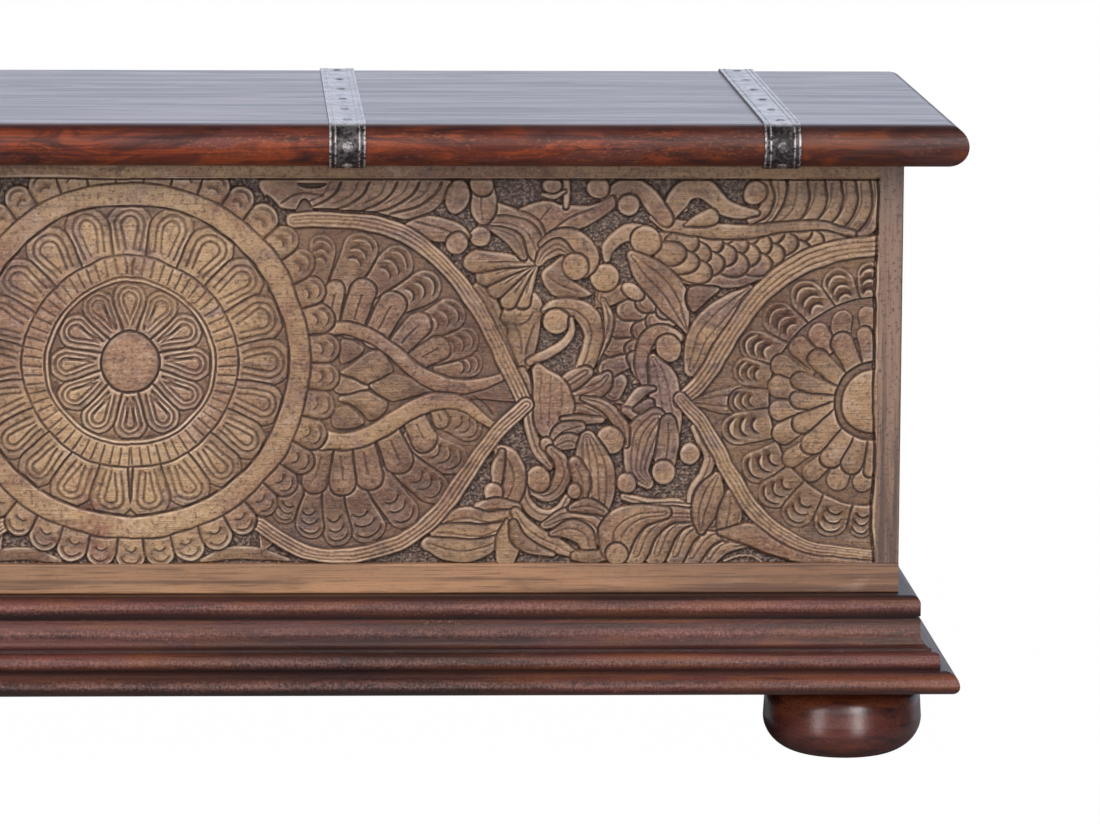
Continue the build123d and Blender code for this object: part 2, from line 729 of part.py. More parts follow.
foot = Pos(foot_x, -foot_y, 0) * bun_foot()
for corner, planes in {
    "front_right": [],
    "front_left": [Plane.YZ],
    "back_right": [Plane.XZ],
    "back_left": [Plane.YZ, Plane.XZ],
}.items():
    corner_foot, corner_support = foot, corner_block()
    for plane in planes:
        corner_foot = mirror(corner_foot, plane)
        corner_support = mirror(corner_support, plane)
    parts[f"bun_foot_{corner}"] = corner_foot
    parts[f"corner_block_{corner}"] = corner_support

lid_screws = [place for x in hinges.values() for place in leaf_screw_places("lid", x)]
nail_places = [place for x in straps for place in strap_nail_places(x)]
lid_cuts = [place * screw(hinge_screw_length, screw_clearance) for place in lid_screws]
lid_cuts += [place * screw(batten_screw_length, screw_clearance) for place in batten_screw_places()]
lid_cuts += [place * nail(nail_clearance) for place in nail_places]
for x in hinges.values():
    half_leaf = hinge_length / 2 + joint_gap
    leaf_bed = (hinge_axis - leaf_reach - joint_gap, hinge_axis)
    lid_cuts.append(block((x - half_leaf, x + half_leaf), leaf_bed, leaf_span("lid")))
    lid_cuts.append(barrel_pocket(x))
lid = round_nosed_slab() - lid_cuts
plank_width = lid_depth / plank_count
for n in range(plank_count):
    low = -lid_depth / 2 + n * plank_width
    cut = block((-lid_length, lid_length), (low, low + plank_width), (0, 2 * lid_top))
    parts[f"lid_plank_{n + 1}"] = lid & cut

batten_holes = [place * screw(batten_screw_length, screw_clearance) for place in batten_screw_places()]
for side, x in battens.items():
    parts[f"lid_batten_{side}"] = lid_batten(x) - batten_holes

for n, x in enumerate(straps):
    parts[f"lid_strap_{n + 1}"] = strap(x) - [place * nail(nail_clearance) for place in strap_nail_places(x)]

for side, x in hinges.items():
    parts[f"hinge_case_leaf_{side}"] = hinge_leaf("case", x)
    parts[f"hinge_lid_leaf_{side}"] = hinge_leaf("lid", x)
case_screws = [place for x in hinges.values() for place in leaf_screw_places("case", x)]
parts["hinge_pins"] = Compound([hinge_pin(x) for x in hinges.values()])
parts["hinge_case_screws"] = Compound([place * screw(hinge_screw_length) for place in case_screws])
parts["hinge_lid_screws"] = Compound([place * screw(hinge_screw_length) for place in lid_screws])
parts["batten_screws"] = Compound([place * screw(batten_screw_length) for place in batten_screw_places()])
parts["strap_nails"] = Compound([place * nail() for place in nail_places])

os.makedirs("parts", exist_ok=True)
for name, shape in parts.items():
    export_step(shape, f"parts/{name}.step")
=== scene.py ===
import json
import math
import bmesh
import bpy
import numpy as np
from mathutils import Matrix, Vector

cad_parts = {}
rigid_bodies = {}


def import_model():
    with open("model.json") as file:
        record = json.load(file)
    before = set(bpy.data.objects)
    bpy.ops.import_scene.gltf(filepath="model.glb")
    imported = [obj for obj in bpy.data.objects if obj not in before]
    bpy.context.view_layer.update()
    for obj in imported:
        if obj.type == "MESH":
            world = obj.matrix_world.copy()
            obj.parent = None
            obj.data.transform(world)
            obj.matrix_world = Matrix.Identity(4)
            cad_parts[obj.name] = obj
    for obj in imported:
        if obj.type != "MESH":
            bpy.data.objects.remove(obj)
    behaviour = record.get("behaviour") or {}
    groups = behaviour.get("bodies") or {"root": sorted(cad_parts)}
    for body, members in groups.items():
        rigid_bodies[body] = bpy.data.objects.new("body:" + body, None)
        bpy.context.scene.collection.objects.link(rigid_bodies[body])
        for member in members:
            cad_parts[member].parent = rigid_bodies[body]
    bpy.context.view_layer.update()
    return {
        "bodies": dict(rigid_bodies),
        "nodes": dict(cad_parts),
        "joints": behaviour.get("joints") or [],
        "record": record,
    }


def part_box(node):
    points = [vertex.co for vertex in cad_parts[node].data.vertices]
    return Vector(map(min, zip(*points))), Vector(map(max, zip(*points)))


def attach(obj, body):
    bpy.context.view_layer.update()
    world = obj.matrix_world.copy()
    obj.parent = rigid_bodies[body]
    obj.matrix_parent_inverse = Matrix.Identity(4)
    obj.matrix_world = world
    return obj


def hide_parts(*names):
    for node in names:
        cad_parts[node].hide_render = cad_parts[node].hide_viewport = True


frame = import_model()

# A damchiya chest: a long, low storage chest on bun feet, with a carved front, a moulded plinth
# and a hinged lid bound with iron straps. Metres, +X to the right, +Z up, the front faces -Y.
MM = 0.001


# ---- Shader maths: an expression on values adds its Math nodes
class Value:
    """The output of a shader node, for use in expressions."""

    def __init__(self, nodes, socket):
        self.nodes, self.socket = nodes, socket

    def maths(self, operation, *others):
        """The value after a Math node's operation, with any other values it takes."""
        settings = {"operation": operation}
        return self.nodes.node("ShaderNodeMath", settings, dict(enumerate((self, *others))))

    def __add__(self, other):
        return self.maths("ADD", other)

    def __mul__(self, other):
        return self.maths("MULTIPLY", other)

    def __sub__(self, other):
        return self.maths("SUBTRACT", other)

    def __rsub__(self, other):
        return (self * -1) + other

    __radd__, __rmul__ = __add__, __mul__

    def between(self, low, high):
        """0 at low, 1 at high, and a smooth rise from one to the other. low may be the greater."""
        inputs = {"Value": self, "From Min": low, "From Max": high}
        return self.nodes.node("ShaderNodeMapRange", {"interpolation_type": "SMOOTHSTEP"}, inputs)

    def near(self, middle, reach):
        """1 where the value is middle, falling to 0 at reach from it."""
        return 1 - (self - middle).maths("ABSOLUTE").between(0, reach)

    def limited(self):
        """The value kept from 0 to 1."""
        return self.maths("MAXIMUM", 0.0).maths("MINIMUM", 1.0)


def colour(red, green, blue):
    """A colour as a screen shows it, 0 to 255, as the shaders want it."""
    parts = [part / 255 for part in (red, green, blue)]
    return (*(p / 12.92 if p <= 0.04045 else ((p + 0.055) / 1.055) ** 2.4 for p in parts), 1.0)


class Nodes:
    """A node tree that starts empty, with a method that adds any node."""

    def __init__(self, tree):
        self.tree = tree
        self.tree.nodes.clear()

    def node(self, kind, settings=None, inputs=None, output=0):
        """Add a node with its settings and inputs, and return one of its outputs."""
        made = self.tree.nodes.new(kind)
        for setting, value in (settings or {}).items():
            setattr(made, setting, value)
        for name, value in (inputs or {}).items():
            if isinstance(value, Value):
                self.tree.links.new(value.socket, made.inputs[name])
            else:
                made.inputs[name].default_value = value
        return Value(self, made.outputs[output])

    def mix(self, first, second, factor, blend="MIX"):
        """The first colour turning into the second as the factor rises."""
        settings = {"data_type": "RGBA", "blend_type": blend}
        return self.node("ShaderNodeMix", settings, {0: factor, 6: first, 7: second}, 2)

    def end(self, kind, shader):
        """Close the tree with its output node."""
        output = self.tree.nodes.new(kind)
        self.tree.links.new(shader.socket, output.inputs["Surface"])


class Finish(Nodes):
    """A material, with methods for the patterns on wood and iron."""

    def __init__(self, name):
        self.material = bpy.data.materials.new(name)
        self.material.use_nodes = True
        super().__init__(self.material.node_tree)
        self.place = self.node("ShaderNodeTexCoord", output="Object")

    def layered(self, tone, *layers):
        """A colour with others laid over it, each as strongly as its mask says."""
        for shade, mask, *blend in layers:
            tone = self.mix(tone, shade, mask, *blend)
        return tone

    def noise(self, across, detail, roughness, distortion=0.0, shift=(0.0, 0.0, 0.0)):
        """Noise with so many waves to the metre along each axis, moved so that two patterns differ."""
        moved = self.node("ShaderNodeVectorMath", {"operation": "ADD"}, {0: self.place, 1: shift})
        stretched = self.node("ShaderNodeVectorMath", {"operation": "MULTIPLY"}, {0: moved, 1: across})
        inputs = {
            "Vector": stretched, "Scale": 1.0, "Detail": detail,
            "Roughness": roughness, "Distortion": distortion,
        }
        return self.node("ShaderNodeTexNoise", {"noise_dimensions": "3D"}, inputs)

    def kept(self, name):
        """A number kept on the piece's own points."""
        return self.node("ShaderNodeAttribute", {"attribute_name": name}, output="Fac")

    def along(self, axis):
        """Where a place lies along an axis, in metres."""
        return self.node("ShaderNodeSeparateXYZ", inputs={0: self.place}, output="XYZ".index(axis))

    def facing(self, axis):
        """How far the surface faces along an axis of its own piece, from -1 to 1."""
        normal = self.node("ShaderNodeTexCoord", output="Normal")
        return self.node("ShaderNodeSeparateXYZ", inputs={0: normal}, output="XYZ".index(axis))

    def bump(self, height, reach, strength):
        """A surface that looks raised by a height, in units of reach."""
        inputs = {"Height": height, "Distance": reach, "Strength": strength}
        return self.node("ShaderNodeBump", inputs=inputs)

    def surface(self, **sockets):
        """The finished material. Socket names are written with _ for a space."""
        inputs = {name.replace("_", " "): value for name, value in sockets.items()}
        self.end("ShaderNodeOutputMaterial", self.node("ShaderNodeBsdfPrincipled", inputs=inputs))
        return self.material


# ---- Finishes
# The patterns of grain: waves to the metre for a board along each axis, detail, roughness and distortion
GRAIN = {
    "streak": ({"X": (3, 60, 140), "Y": (60, 3, 140), "Z": (120, 60, 3)}, 4.0, 0.6, 0.4),
    "pore": ({"X": (22, 700, 900), "Y": (700, 22, 900), "Z": (900, 700, 22)}, 2.0, 0.5, 0.0),
    "broad": ({"X": (1.6, 9, 14), "Y": (9, 1.6, 14), "Z": (14, 9, 1.6)}, 3.0, 0.55, 0.6),
    "smudge": ({"X": (12, 60, 60), "Y": (60, 12, 60), "Z": (60, 60, 12)}, 5.0, 0.7, 0.5),
}
GRIT = ((330.0, 330.0, 330.0), 3.0, 0.7, 0.2)
STRAPS_APART = 0.310                            # from the middle of one strap to the next
RIDGES = ((0.0122, 0.0013), (0.0085, 0.0010))   # from a strap's middle to each ridge, and half its width
RAIL_TONES = (colour(86, 58, 42), colour(144, 106, 77), colour(170, 127, 91))
POST_TONES = (colour(66, 46, 38), colour(116, 91, 76), colour(142, 114, 96))
PLINTH = {
    "tones": (colour(27, 11, 12), colour(90, 43, 37), colour(106, 56, 26), colour(176, 116, 104)),
    "rough": 0.30, "gloss": 0.34, "coat": 0.2, "scuffs": 0.6,
    "swells": (62.8, 77.1, 97.0, 115.4), "shaded_quirks": (71.5, 86.0, 108.5, 123.3),
}
FOOT = {
    "tones": (colour(34, 14, 14), colour(92, 42, 34), colour(122, 64, 38), colour(160, 122, 116)),
    "rough": 0.24, "gloss": 0.5, "coat": 0.0, "scuffs": 0.25, "feel": 0.14, "belly": 27.0,
}
# How strongly a foot's face is turned down, and rounded back below and above its belly
TURNED_DOWN, ROUNDED_BELOW, ROUNDED_ABOVE = 220.0, 15000.0, 18000.0


def grain(wood, axis, shift, *kinds):
    """Patterns of grain, by name, in the colour of a board that runs along an axis."""
    return [wood.noise(GRAIN[kind][0][axis], *GRAIN[kind][1:], shift) for kind in kinds]


def carved_wood():
    """Worn and waxed brown wood with pale smudges of wear. The cuts are dark from dirt and painted shade,
    the proud edges pale with painted highlights, and painted light is brightest at the middle.
    """
    wood = Finish("carved_wood")
    streak, pore = grain(wood, "X", (0.3, 0.0, 0.1), "streak", "pore")
    patch = wood.noise((7.0, 7.0, 9.0), 3.0, 0.6, 0.5)
    stain = wood.noise((11.0, 11.0, 14.0), 4.0, 0.65, 0.8, (3.1, 0.0, 1.7))
    smudge = wood.noise((48.0, 48.0, 64.0), 4.0, 0.75, 0.6, (0.0, 2.0, 5.0))
    grit = wood.noise(*GRIT, (1.0, 2.0, 3.0))
    cut, height = wood.kept("cut"), wood.kept("height")
    tone = wood.layered(
        wood.mix(colour(146, 109, 81), colour(172, 139, 99), patch.between(0.40, 0.60)),
        (colour(124, 94, 92), stain.between(0.54, 0.68) * 0.85),
        (colour(124, 74, 52), stain.between(0.48, 0.32) * 0.75),
        (colour(190, 166, 144), smudge.between(0.54, 0.74) * 0.65),
        (colour(86, 56, 46), smudge.between(0.47, 0.28) * 0.75),
        (colour(84, 54, 46), streak.between(0.52, 0.75) * 0.5),
        (colour(78, 50, 42), pore.between(0.55, 0.68) * 0.45),
        (colour(72, 46, 40), grit.between(0.53, 0.66) * 0.70),
        (colour(196, 172, 152), grit.between(0.46, 0.32) * 0.40),
        # dirt and painted shade: darker wherever the carving lies below the face of the board
        (colour(176, 160, 152), height.between(0.94, 0.80) * 0.8, "MULTIPLY"),
        # painted highlight: pale where the carving stands proud of its surroundings, along the edges that
        # catch the light
        (colour(226, 204, 182), cut.between(-0.06, -0.60) * (0.15 + smudge * 0.85)),
        # dirt and wax in the cuts, and painted shade in the hollows: the deeper a place lies below its near
        # and wide surroundings, the darker
        (colour(46, 28, 25), cut.between(0.03, 0.60) * 0.94),
    )
    ground = wood.mix(colour(58, 40, 36), colour(150, 126, 110), grit.between(0.47, 0.62))
    tone = wood.layered(
        tone,
        (ground, (1 - height).between(0.56, 0.80) * 0.85),
        # painted light: the board darkens away from the round medallion in the middle, as though lit most
        # there
        (colour(225, 218, 215), wood.along("X").maths("ABSOLUTE").between(0.03, 0.12), "MULTIPLY"),
    )
    return wood.surface(
        Base_Color=tone, Roughness=0.42 + patch * 0.12 + cut.between(0.0, 0.8) * 0.25,
        Normal=wood.bump(streak * 0.4 + pore * 0.3 + smudge + grit, 0.0012, 0.9),
        Coat_Weight=0.12, Coat_Roughness=0.25,
    )


def case_wood(name, axis, shift, dark, middle, pale, dirt=0.15):
    """The plain boards, rails and posts, with a soft wax finish. dirt is how strong its specks are."""
    wood = Finish(name)
    streak, pore, broad, smudge = grain(wood, axis, shift, "streak", "pore", "broad", "smudge")
    tone = wood.layered(
        wood.mix(middle, pale, broad.between(0.42, 0.62)),
        (dark, streak.between(0.46, 0.66) * 0.75),
        (dark, smudge.between(0.50, 0.28) * 0.6),
        (colour(190, 160, 140), smudge.between(0.58, 0.76) * 0.35),
        (dark, pore.between(0.53, 0.66) * 0.60),
        (dark, wood.noise(*GRIT, shift).between(0.53, 0.64) * dirt),
        # painted shade: darker towards the right end, as though lit from the left
        (colour(232, 226, 226), wood.along("X").between(0.05, 0.45), "MULTIPLY"),
    )
    return wood.surface(
        Base_Color=tone, Roughness=0.42 + smudge * 0.18, Coat_Weight=0.15, Coat_Roughness=0.2,
        Normal=wood.bump(streak * 0.6 + pore * 0.4, 0.0005, 0.6),
    )


def polished_wood(
    name, axis, shift, tones, rough, gloss, coat, scuffs, swells=(), shaded_quirks=(), feel=1.0, belly=None,
):
    """Dark red-brown wood under polish: the plinth and the feet. tones are dark, middle, warm and
    scuffed, and scuffs is how much of it is scuffed pale. swells and shaded_quirks are the heights in
    millimetres where the faces of the mouldings are planed full, pale on their crests from wear and a
    painted highlight, and where painted shade darkens the creases between them. feel is
    how rough it feels, and belly the height that a turned foot is rounded back from."""
    wood = Finish(name)
    dark, middle, warm, scuffed = tones
    streak, pore, broad, smudge = grain(wood, axis, shift, "streak", "pore", "broad", "smudge")
    blotch = wood.noise((9.0, 9.0, 40.0), 4.0, 0.65, 0.7, shift)
    nick = wood.noise((520.0, 520.0, 400.0), 3.0, 0.7, 0.4, shift)
    speck = wood.noise((900.0, 900.0, 900.0), 2.0, 0.6, 0.0, shift)
    up = wood.along("Z")
    rub_and_sheen = (nick * 0.6 + smudge * 0.4).between(0.42, 0.58)
    tone = wood.layered(
        wood.mix(middle, warm, blotch.between(0.44, 0.60) * 0.9),
        (dark, broad.between(0.54, 0.34) * 0.75),
        (dark, streak.between(0.46, 0.68) * 0.8),
        (dark, pore.between(0.55, 0.70) * 0.6),
        (scuffed, smudge.between(0.52, 0.70) * nick.between(0.56, 0.64) * scuffs),
        # wear and a painted highlight: pale along the crests of the moulded faces
        *((scuffed, up.near(level * MM, 0.0065) * rub_and_sheen * 0.26) for level in swells),
        # painted shade: dark lines in the creases between the mouldings
        *((dark, up.near(level * MM, 0.0038) * 0.75) for level in shaded_quirks),
        (dark, speck.between(0.55, 0.66) * 0.5),
    )
    rise = (streak * 0.3 + smudge * 0.6 + nick * 0.5 + speck * 0.4) * feel
    if belly:
        under = (up - belly * MM).maths("MINIMUM", 0.0)
        over = (up - (belly + 10.0) * MM).maths("MAXIMUM", 0.0)
        rise = rise - up * TURNED_DOWN + under * under * ROUNDED_BELOW - over * over * ROUNDED_ABOVE
    for level in swells:
        rise = rise + up.near((level - 1.0) * MM, 0.008) * 3.2
    return wood.surface(
        Base_Color=tone, Roughness=rough + (smudge * 0.20 + speck * 0.15) * feel,
        Normal=wood.bump(rise, 0.0010, 0.9), Coat_Weight=coat, Coat_Roughness=0.28, Specular_IOR_Level=gloss,
    )


def lid_wood():
    """The lid's planks: polished dark red-brown wood, faded on top and flamed along the round edge,
    with painted shade on the edge's upper part and towards the right end.
    """
    wood = Finish("lid_wood")
    streak, pore, smudge = grain(wood, "X", (0.0, 0.0, 0.0), "streak", "pore", "smudge")
    flame = wood.noise((16.0, 40.0, 60.0), 5.0, 0.65, 1.2, (4.0, 0.0, 1.0))
    bloom = wood.noise((9.0, 30.0, 40.0), 4.0, 0.6, 0.6, (7.0, 3.0, 2.0))
    fleck = wood.noise((240.0, 500.0, 640.0), 3.0, 0.7, 0.6)
    drift = wood.noise((5.0, 52.0, 20.0), 5.0, 0.68, 0.7, (0.0, 6.0, 0.0))
    hair = wood.noise((22.0, 150.0, 60.0), 4.0, 0.65, 0.5, (2.0, 5.0, 0.0))
    facing_up = wood.facing("Z")
    top = facing_up.between(0.90, 0.99)
    faded = wood.layered(
        wood.mix(colour(110, 84, 80), colour(52, 39, 42), (drift * 0.8 + bloom * 0.2).between(0.36, 0.64)),
        (colour(34, 25, 28), hair.between(0.52, 0.66) * 0.7),
    )
    tone = wood.layered(
        wood.mix(colour(88, 35, 20), colour(126, 54, 24), flame.between(0.46, 0.58)),
        (colour(90, 46, 41), bloom.between(0.50, 0.62) * 0.85),
        (colour(46, 19, 18), streak.between(0.48, 0.66) * 0.75),
        (colour(48, 22, 20), flame.between(0.46, 0.34) * 0.8),
        (colour(34, 16, 16), pore.between(0.54, 0.68) * 0.6),
        (colour(168, 98, 58), fleck.between(0.52, 0.66) * smudge.between(0.44, 0.6) * 0.35),
        # painted shade: darker on the upper part of the round front edge, where it turns up towards the top
        (colour(38, 16, 14), facing_up.between(0.45, 0.85) * 0.75),
        # painted shade: darker and cooler towards the right end
        (colour(212, 230, 240), wood.along("X").between(0.28, 0.50), "MULTIPLY"),
        (faded, top * 0.9),
        (colour(98, 62, 46), facing_up.between(-0.90, -0.99) * 0.6),
    )
    rise = wood.bump(drift * 1.6 + hair * 0.5 + fleck * 0.3 + bloom * 1.4 + smudge * 0.5, 0.0005, 0.45)
    return wood.surface(
        Base_Color=tone, Roughness=0.30 - top * 0.06 + drift.between(0.35, 0.65) * 0.14 + fleck * 0.12,
        Normal=rise, Coat_Weight=0.06 + top * 0.49, Coat_Roughness=0.20, Specular_IOR_Level=0.25,
    )


def bare_wood():
    """Sawn wood on the inside of the chest and under it."""
    wood = Finish("inner_wood")
    streak, pore, broad = grain(wood, "X", (5.0, 1.0, 2.0), "streak", "pore", "broad")
    saw = wood.noise((260.0, 30.0, 30.0), 2.0, 0.5)
    tone = wood.layered(
        wood.mix(colour(150, 116, 84), colour(172, 138, 102), broad.between(0.40, 0.62)),
        (colour(112, 80, 56), streak.between(0.5, 0.72) * 0.6),
        (colour(104, 76, 54), pore.between(0.56, 0.72) * 0.5),
    )
    rise = wood.bump(streak * 0.5 + saw * 0.5 + pore * 0.3, 0.0006, 0.7)
    return wood.surface(Base_Color=tone, Roughness=0.72 + saw * 0.12, Normal=rise)


def strap_iron(name, shine, dark, worn_and_glint):
    """Pressed iron, pale on top and on its ridges from rubbing and a painted sheen. dark and
    worn_and_glint are its tones on the lid's edge; the nails' are paler, for painted glints.
    """
    iron = Finish(name)
    scale = iron.noise((60.0, 60.0, 60.0), 4.0, 0.65, 0.4)
    fine = iron.noise((300.0, 300.0, 300.0), 3.0, 0.6, 0.0, (2.0, 0.0, 0.0))
    rub_and_sheen = iron.facing("Z").between(0.80, 0.97)
    past_strap = (iron.along("X") + 2 * STRAPS_APART).maths("FLOORED_MODULO", STRAPS_APART)
    off = (past_strap - STRAPS_APART / 2).maths("ABSOLUTE")
    ridges = off.near(*RIDGES[0]) + off.near(*RIDGES[1])
    mottle = scale * 0.5 + fine * 0.5
    top = iron.mix(colour(166, 164, 168), colour(220, 218, 220), mottle.between(0.40, 0.58))
    tone = iron.layered(
        iron.mix(dark, worn_and_glint, mottle.between(0.42, 0.62)),
        # rubbing and a painted highlight along the pressed ridges
        (colour(186, 178, 177), (ridges * fine.between(0.38, 0.58)).limited()),
        # rubbing and a painted sheen: paler where the strap faces up
        (top, rub_and_sheen),
        (colour(70, 58, 56), fine.between(0.58, 0.72) * 0.55),
    )
    return iron.surface(
        Base_Color=tone, Metallic=0.75, Roughness=shine + (1 - rub_and_sheen) * 0.12 + fine * 0.16,
        Normal=iron.bump(scale * 1.2 + fine * 0.6, 0.0008, 0.7),
    )


def dark_iron():
    """The hinges and the screws, with a little rust."""
    iron = Finish("hinge_iron")
    scale = iron.noise((90.0, 90.0, 90.0), 4.0, 0.65, 0.4)
    fine = iron.noise((420.0, 420.0, 420.0), 3.0, 0.6)
    tone = iron.layered(
        iron.mix(colour(52, 50, 52), colour(84, 82, 84), scale.between(0.38, 0.62)),
        (colour(74, 52, 42), (scale * 0.6 + fine * 0.4).between(0.50, 0.34) * 0.6),
    )
    rise = iron.bump(scale * 0.7 + fine * 0.5, 0.0006, 0.7)
    return iron.surface(Base_Color=tone, Metallic=0.85, Roughness=0.42 + fine * 0.25, Normal=rise)


CARVED = carved_wood()
CASE_ALONG = case_wood("case_wood_along", "X", (0.0, 0.0, 0.0), *RAIL_TONES)
CASE_ACROSS = case_wood("case_wood_across", "Y", (2.0, 1.0, 0.0), *RAIL_TONES)
POSTS = case_wood("post_wood", "Z", (1.0, 4.0, 0.0), *POST_TONES, dirt=0.7)
LID = lid_wood()
PLINTH_ALONG = polished_wood("plinth_wood_along", "X", (0.7, 0.3, 0.0), **PLINTH)
PLINTH_ACROSS = polished_wood("plinth_wood_across", "Y", (0.2, 0.9, 0.0), **PLINTH)
FEET = polished_wood("turned_wood", "X", (0.1, 0.2, 0.0), **FOOT)
BARE = bare_wood()
STRAP = strap_iron("strap_iron", 0.30, colour(38, 34, 35), colour(100, 94, 96))
# painted glints: the nail heads are paler all over than the strap they hold
NAIL = strap_iron("nail_iron", 0.24, colour(84, 80, 82), colour(186, 180, 180))
HINGE = dark_iron()

# How a node's name starts, and its finish; the first that fits is taken
FINISHES = (
    ("front_bottom_rail", CASE_ALONG), ("back_bottom_rail", CASE_ALONG), ("back_panel", CASE_ALONG),
    ("left_bottom_rail", CASE_ACROSS), ("right_bottom_rail", CASE_ACROSS),
    ("left_side_panel", CASE_ACROSS), ("right_side_panel", CASE_ACROSS),
    ("corner_post", POSTS), ("lid_plank", LID), ("lid_batten", BARE), ("lid_strap", STRAP),
    ("strap_nails", NAIL), ("batten_screws", HINGE), ("hinge", HINGE), ("bun_foot", FEET),
    ("corner_block", BARE), ("floor", BARE),
    ("plinth_base_front", PLINTH_ALONG), ("plinth_base_back", PLINTH_ALONG),
    ("plinth_cove_front", PLINTH_ALONG), ("plinth_cove_back", PLINTH_ALONG),
    ("plinth_bead_front", PLINTH_ALONG), ("plinth_bead_back", PLINTH_ALONG),
    ("plinth", PLINTH_ACROSS),
)
for node, shape in frame["nodes"].items():
    for start, finish in FINISHES:
        if node.startswith(start):
            for place in shape.material_slots:
                place.material = finish
            break


# ---- The carved front: heights over its ground in millimetres, worked out for the right half and mirrored
FIELD = (-4.0, 541.0, 141.0, 425.0)      # the half field: lowest and highest X, then Z
BOARD_FOOT = 143.0                       # Z of the board's lower edge, as the carving counts it
CELL = 0.5                               # spacing of the heights
FACE = 6.0                               # from the ground of the carving up to the face of the board
TOP = 5.0                                # where most forms end
BED = 3.1                                # the level that the forms grow out of, where no ground is cut
GROUND = 0.9                             # the level of the cut ground, before it is punched
STRIP = 423.0                            # lower edge of the plain strip along the top
STEEP = 3.0                              # how steeply a V cut rises, away from the form it outlines
BEYOND = 99.0                            # further from an outline than any cut reaches
MARGIN = 3.0                             # how far round a form the board can change
SPACING = 2.5                            # between the points of a smooth path, at most
CENTRE = (0.0, 290.0)                    # of the round medallion
END = (538.0, 261.0)                     # of the half medallion at the end


class Form:
    """A shape seen from the front: its window in the field, how far each cell is from its outline
    (less than nothing inside), and for a stroke the way along it, off its middle and its half width."""

    def __init__(self, window, x, z, far, along=None, across=None, half=None):
        self.window, self.x, self.z, self.far = window, x, z, far
        self.along, self.across, self.half = along, across, half


def within(form, other):
    """The part of a form that lies inside another one."""
    starts = [max(a.start, b.start) for a, b in zip(form.window, other.window)]
    stops = [min(a.stop, b.stop) for a, b in zip(form.window, other.window)]
    mine, theirs = (
        tuple(slice(first - w.start, last - w.start) for first, last, w in zip(starts, stops, window))
        for window in (form.window, other.window)
    )
    kept = np.full(form.far.shape, BEYOND)
    kept[mine] = other.far[theirs]
    form.far = np.maximum(form.far, kept)
    return form


def smooth_path(points, closed=False):
    """Points on a smooth curve through the given ones; each is x, z and any further values."""
    given = np.array(points, float)
    if closed:
        padded = np.vstack([given[-1:], given, given[:2]])
    else:
        padded = np.vstack([2 * given[0] - given[1], given, 2 * given[-1] - given[-2]])
    path = []
    for before, first, second, after in zip(padded, padded[1:], padded[2:], padded[3:]):
        pieces = max(1, math.ceil(math.dist(first[:2], second[:2]) / SPACING))
        for t in np.arange(pieces) / pieces:
            path.append(0.5 * (
                2 * first + (second - before) * t + (2 * before - 5 * first + 4 * second - after) * t ** 2
                + (3 * first - before - 3 * second + after) * t ** 3
            ))
    return np.array(path if closed else path + [padded[-2]])


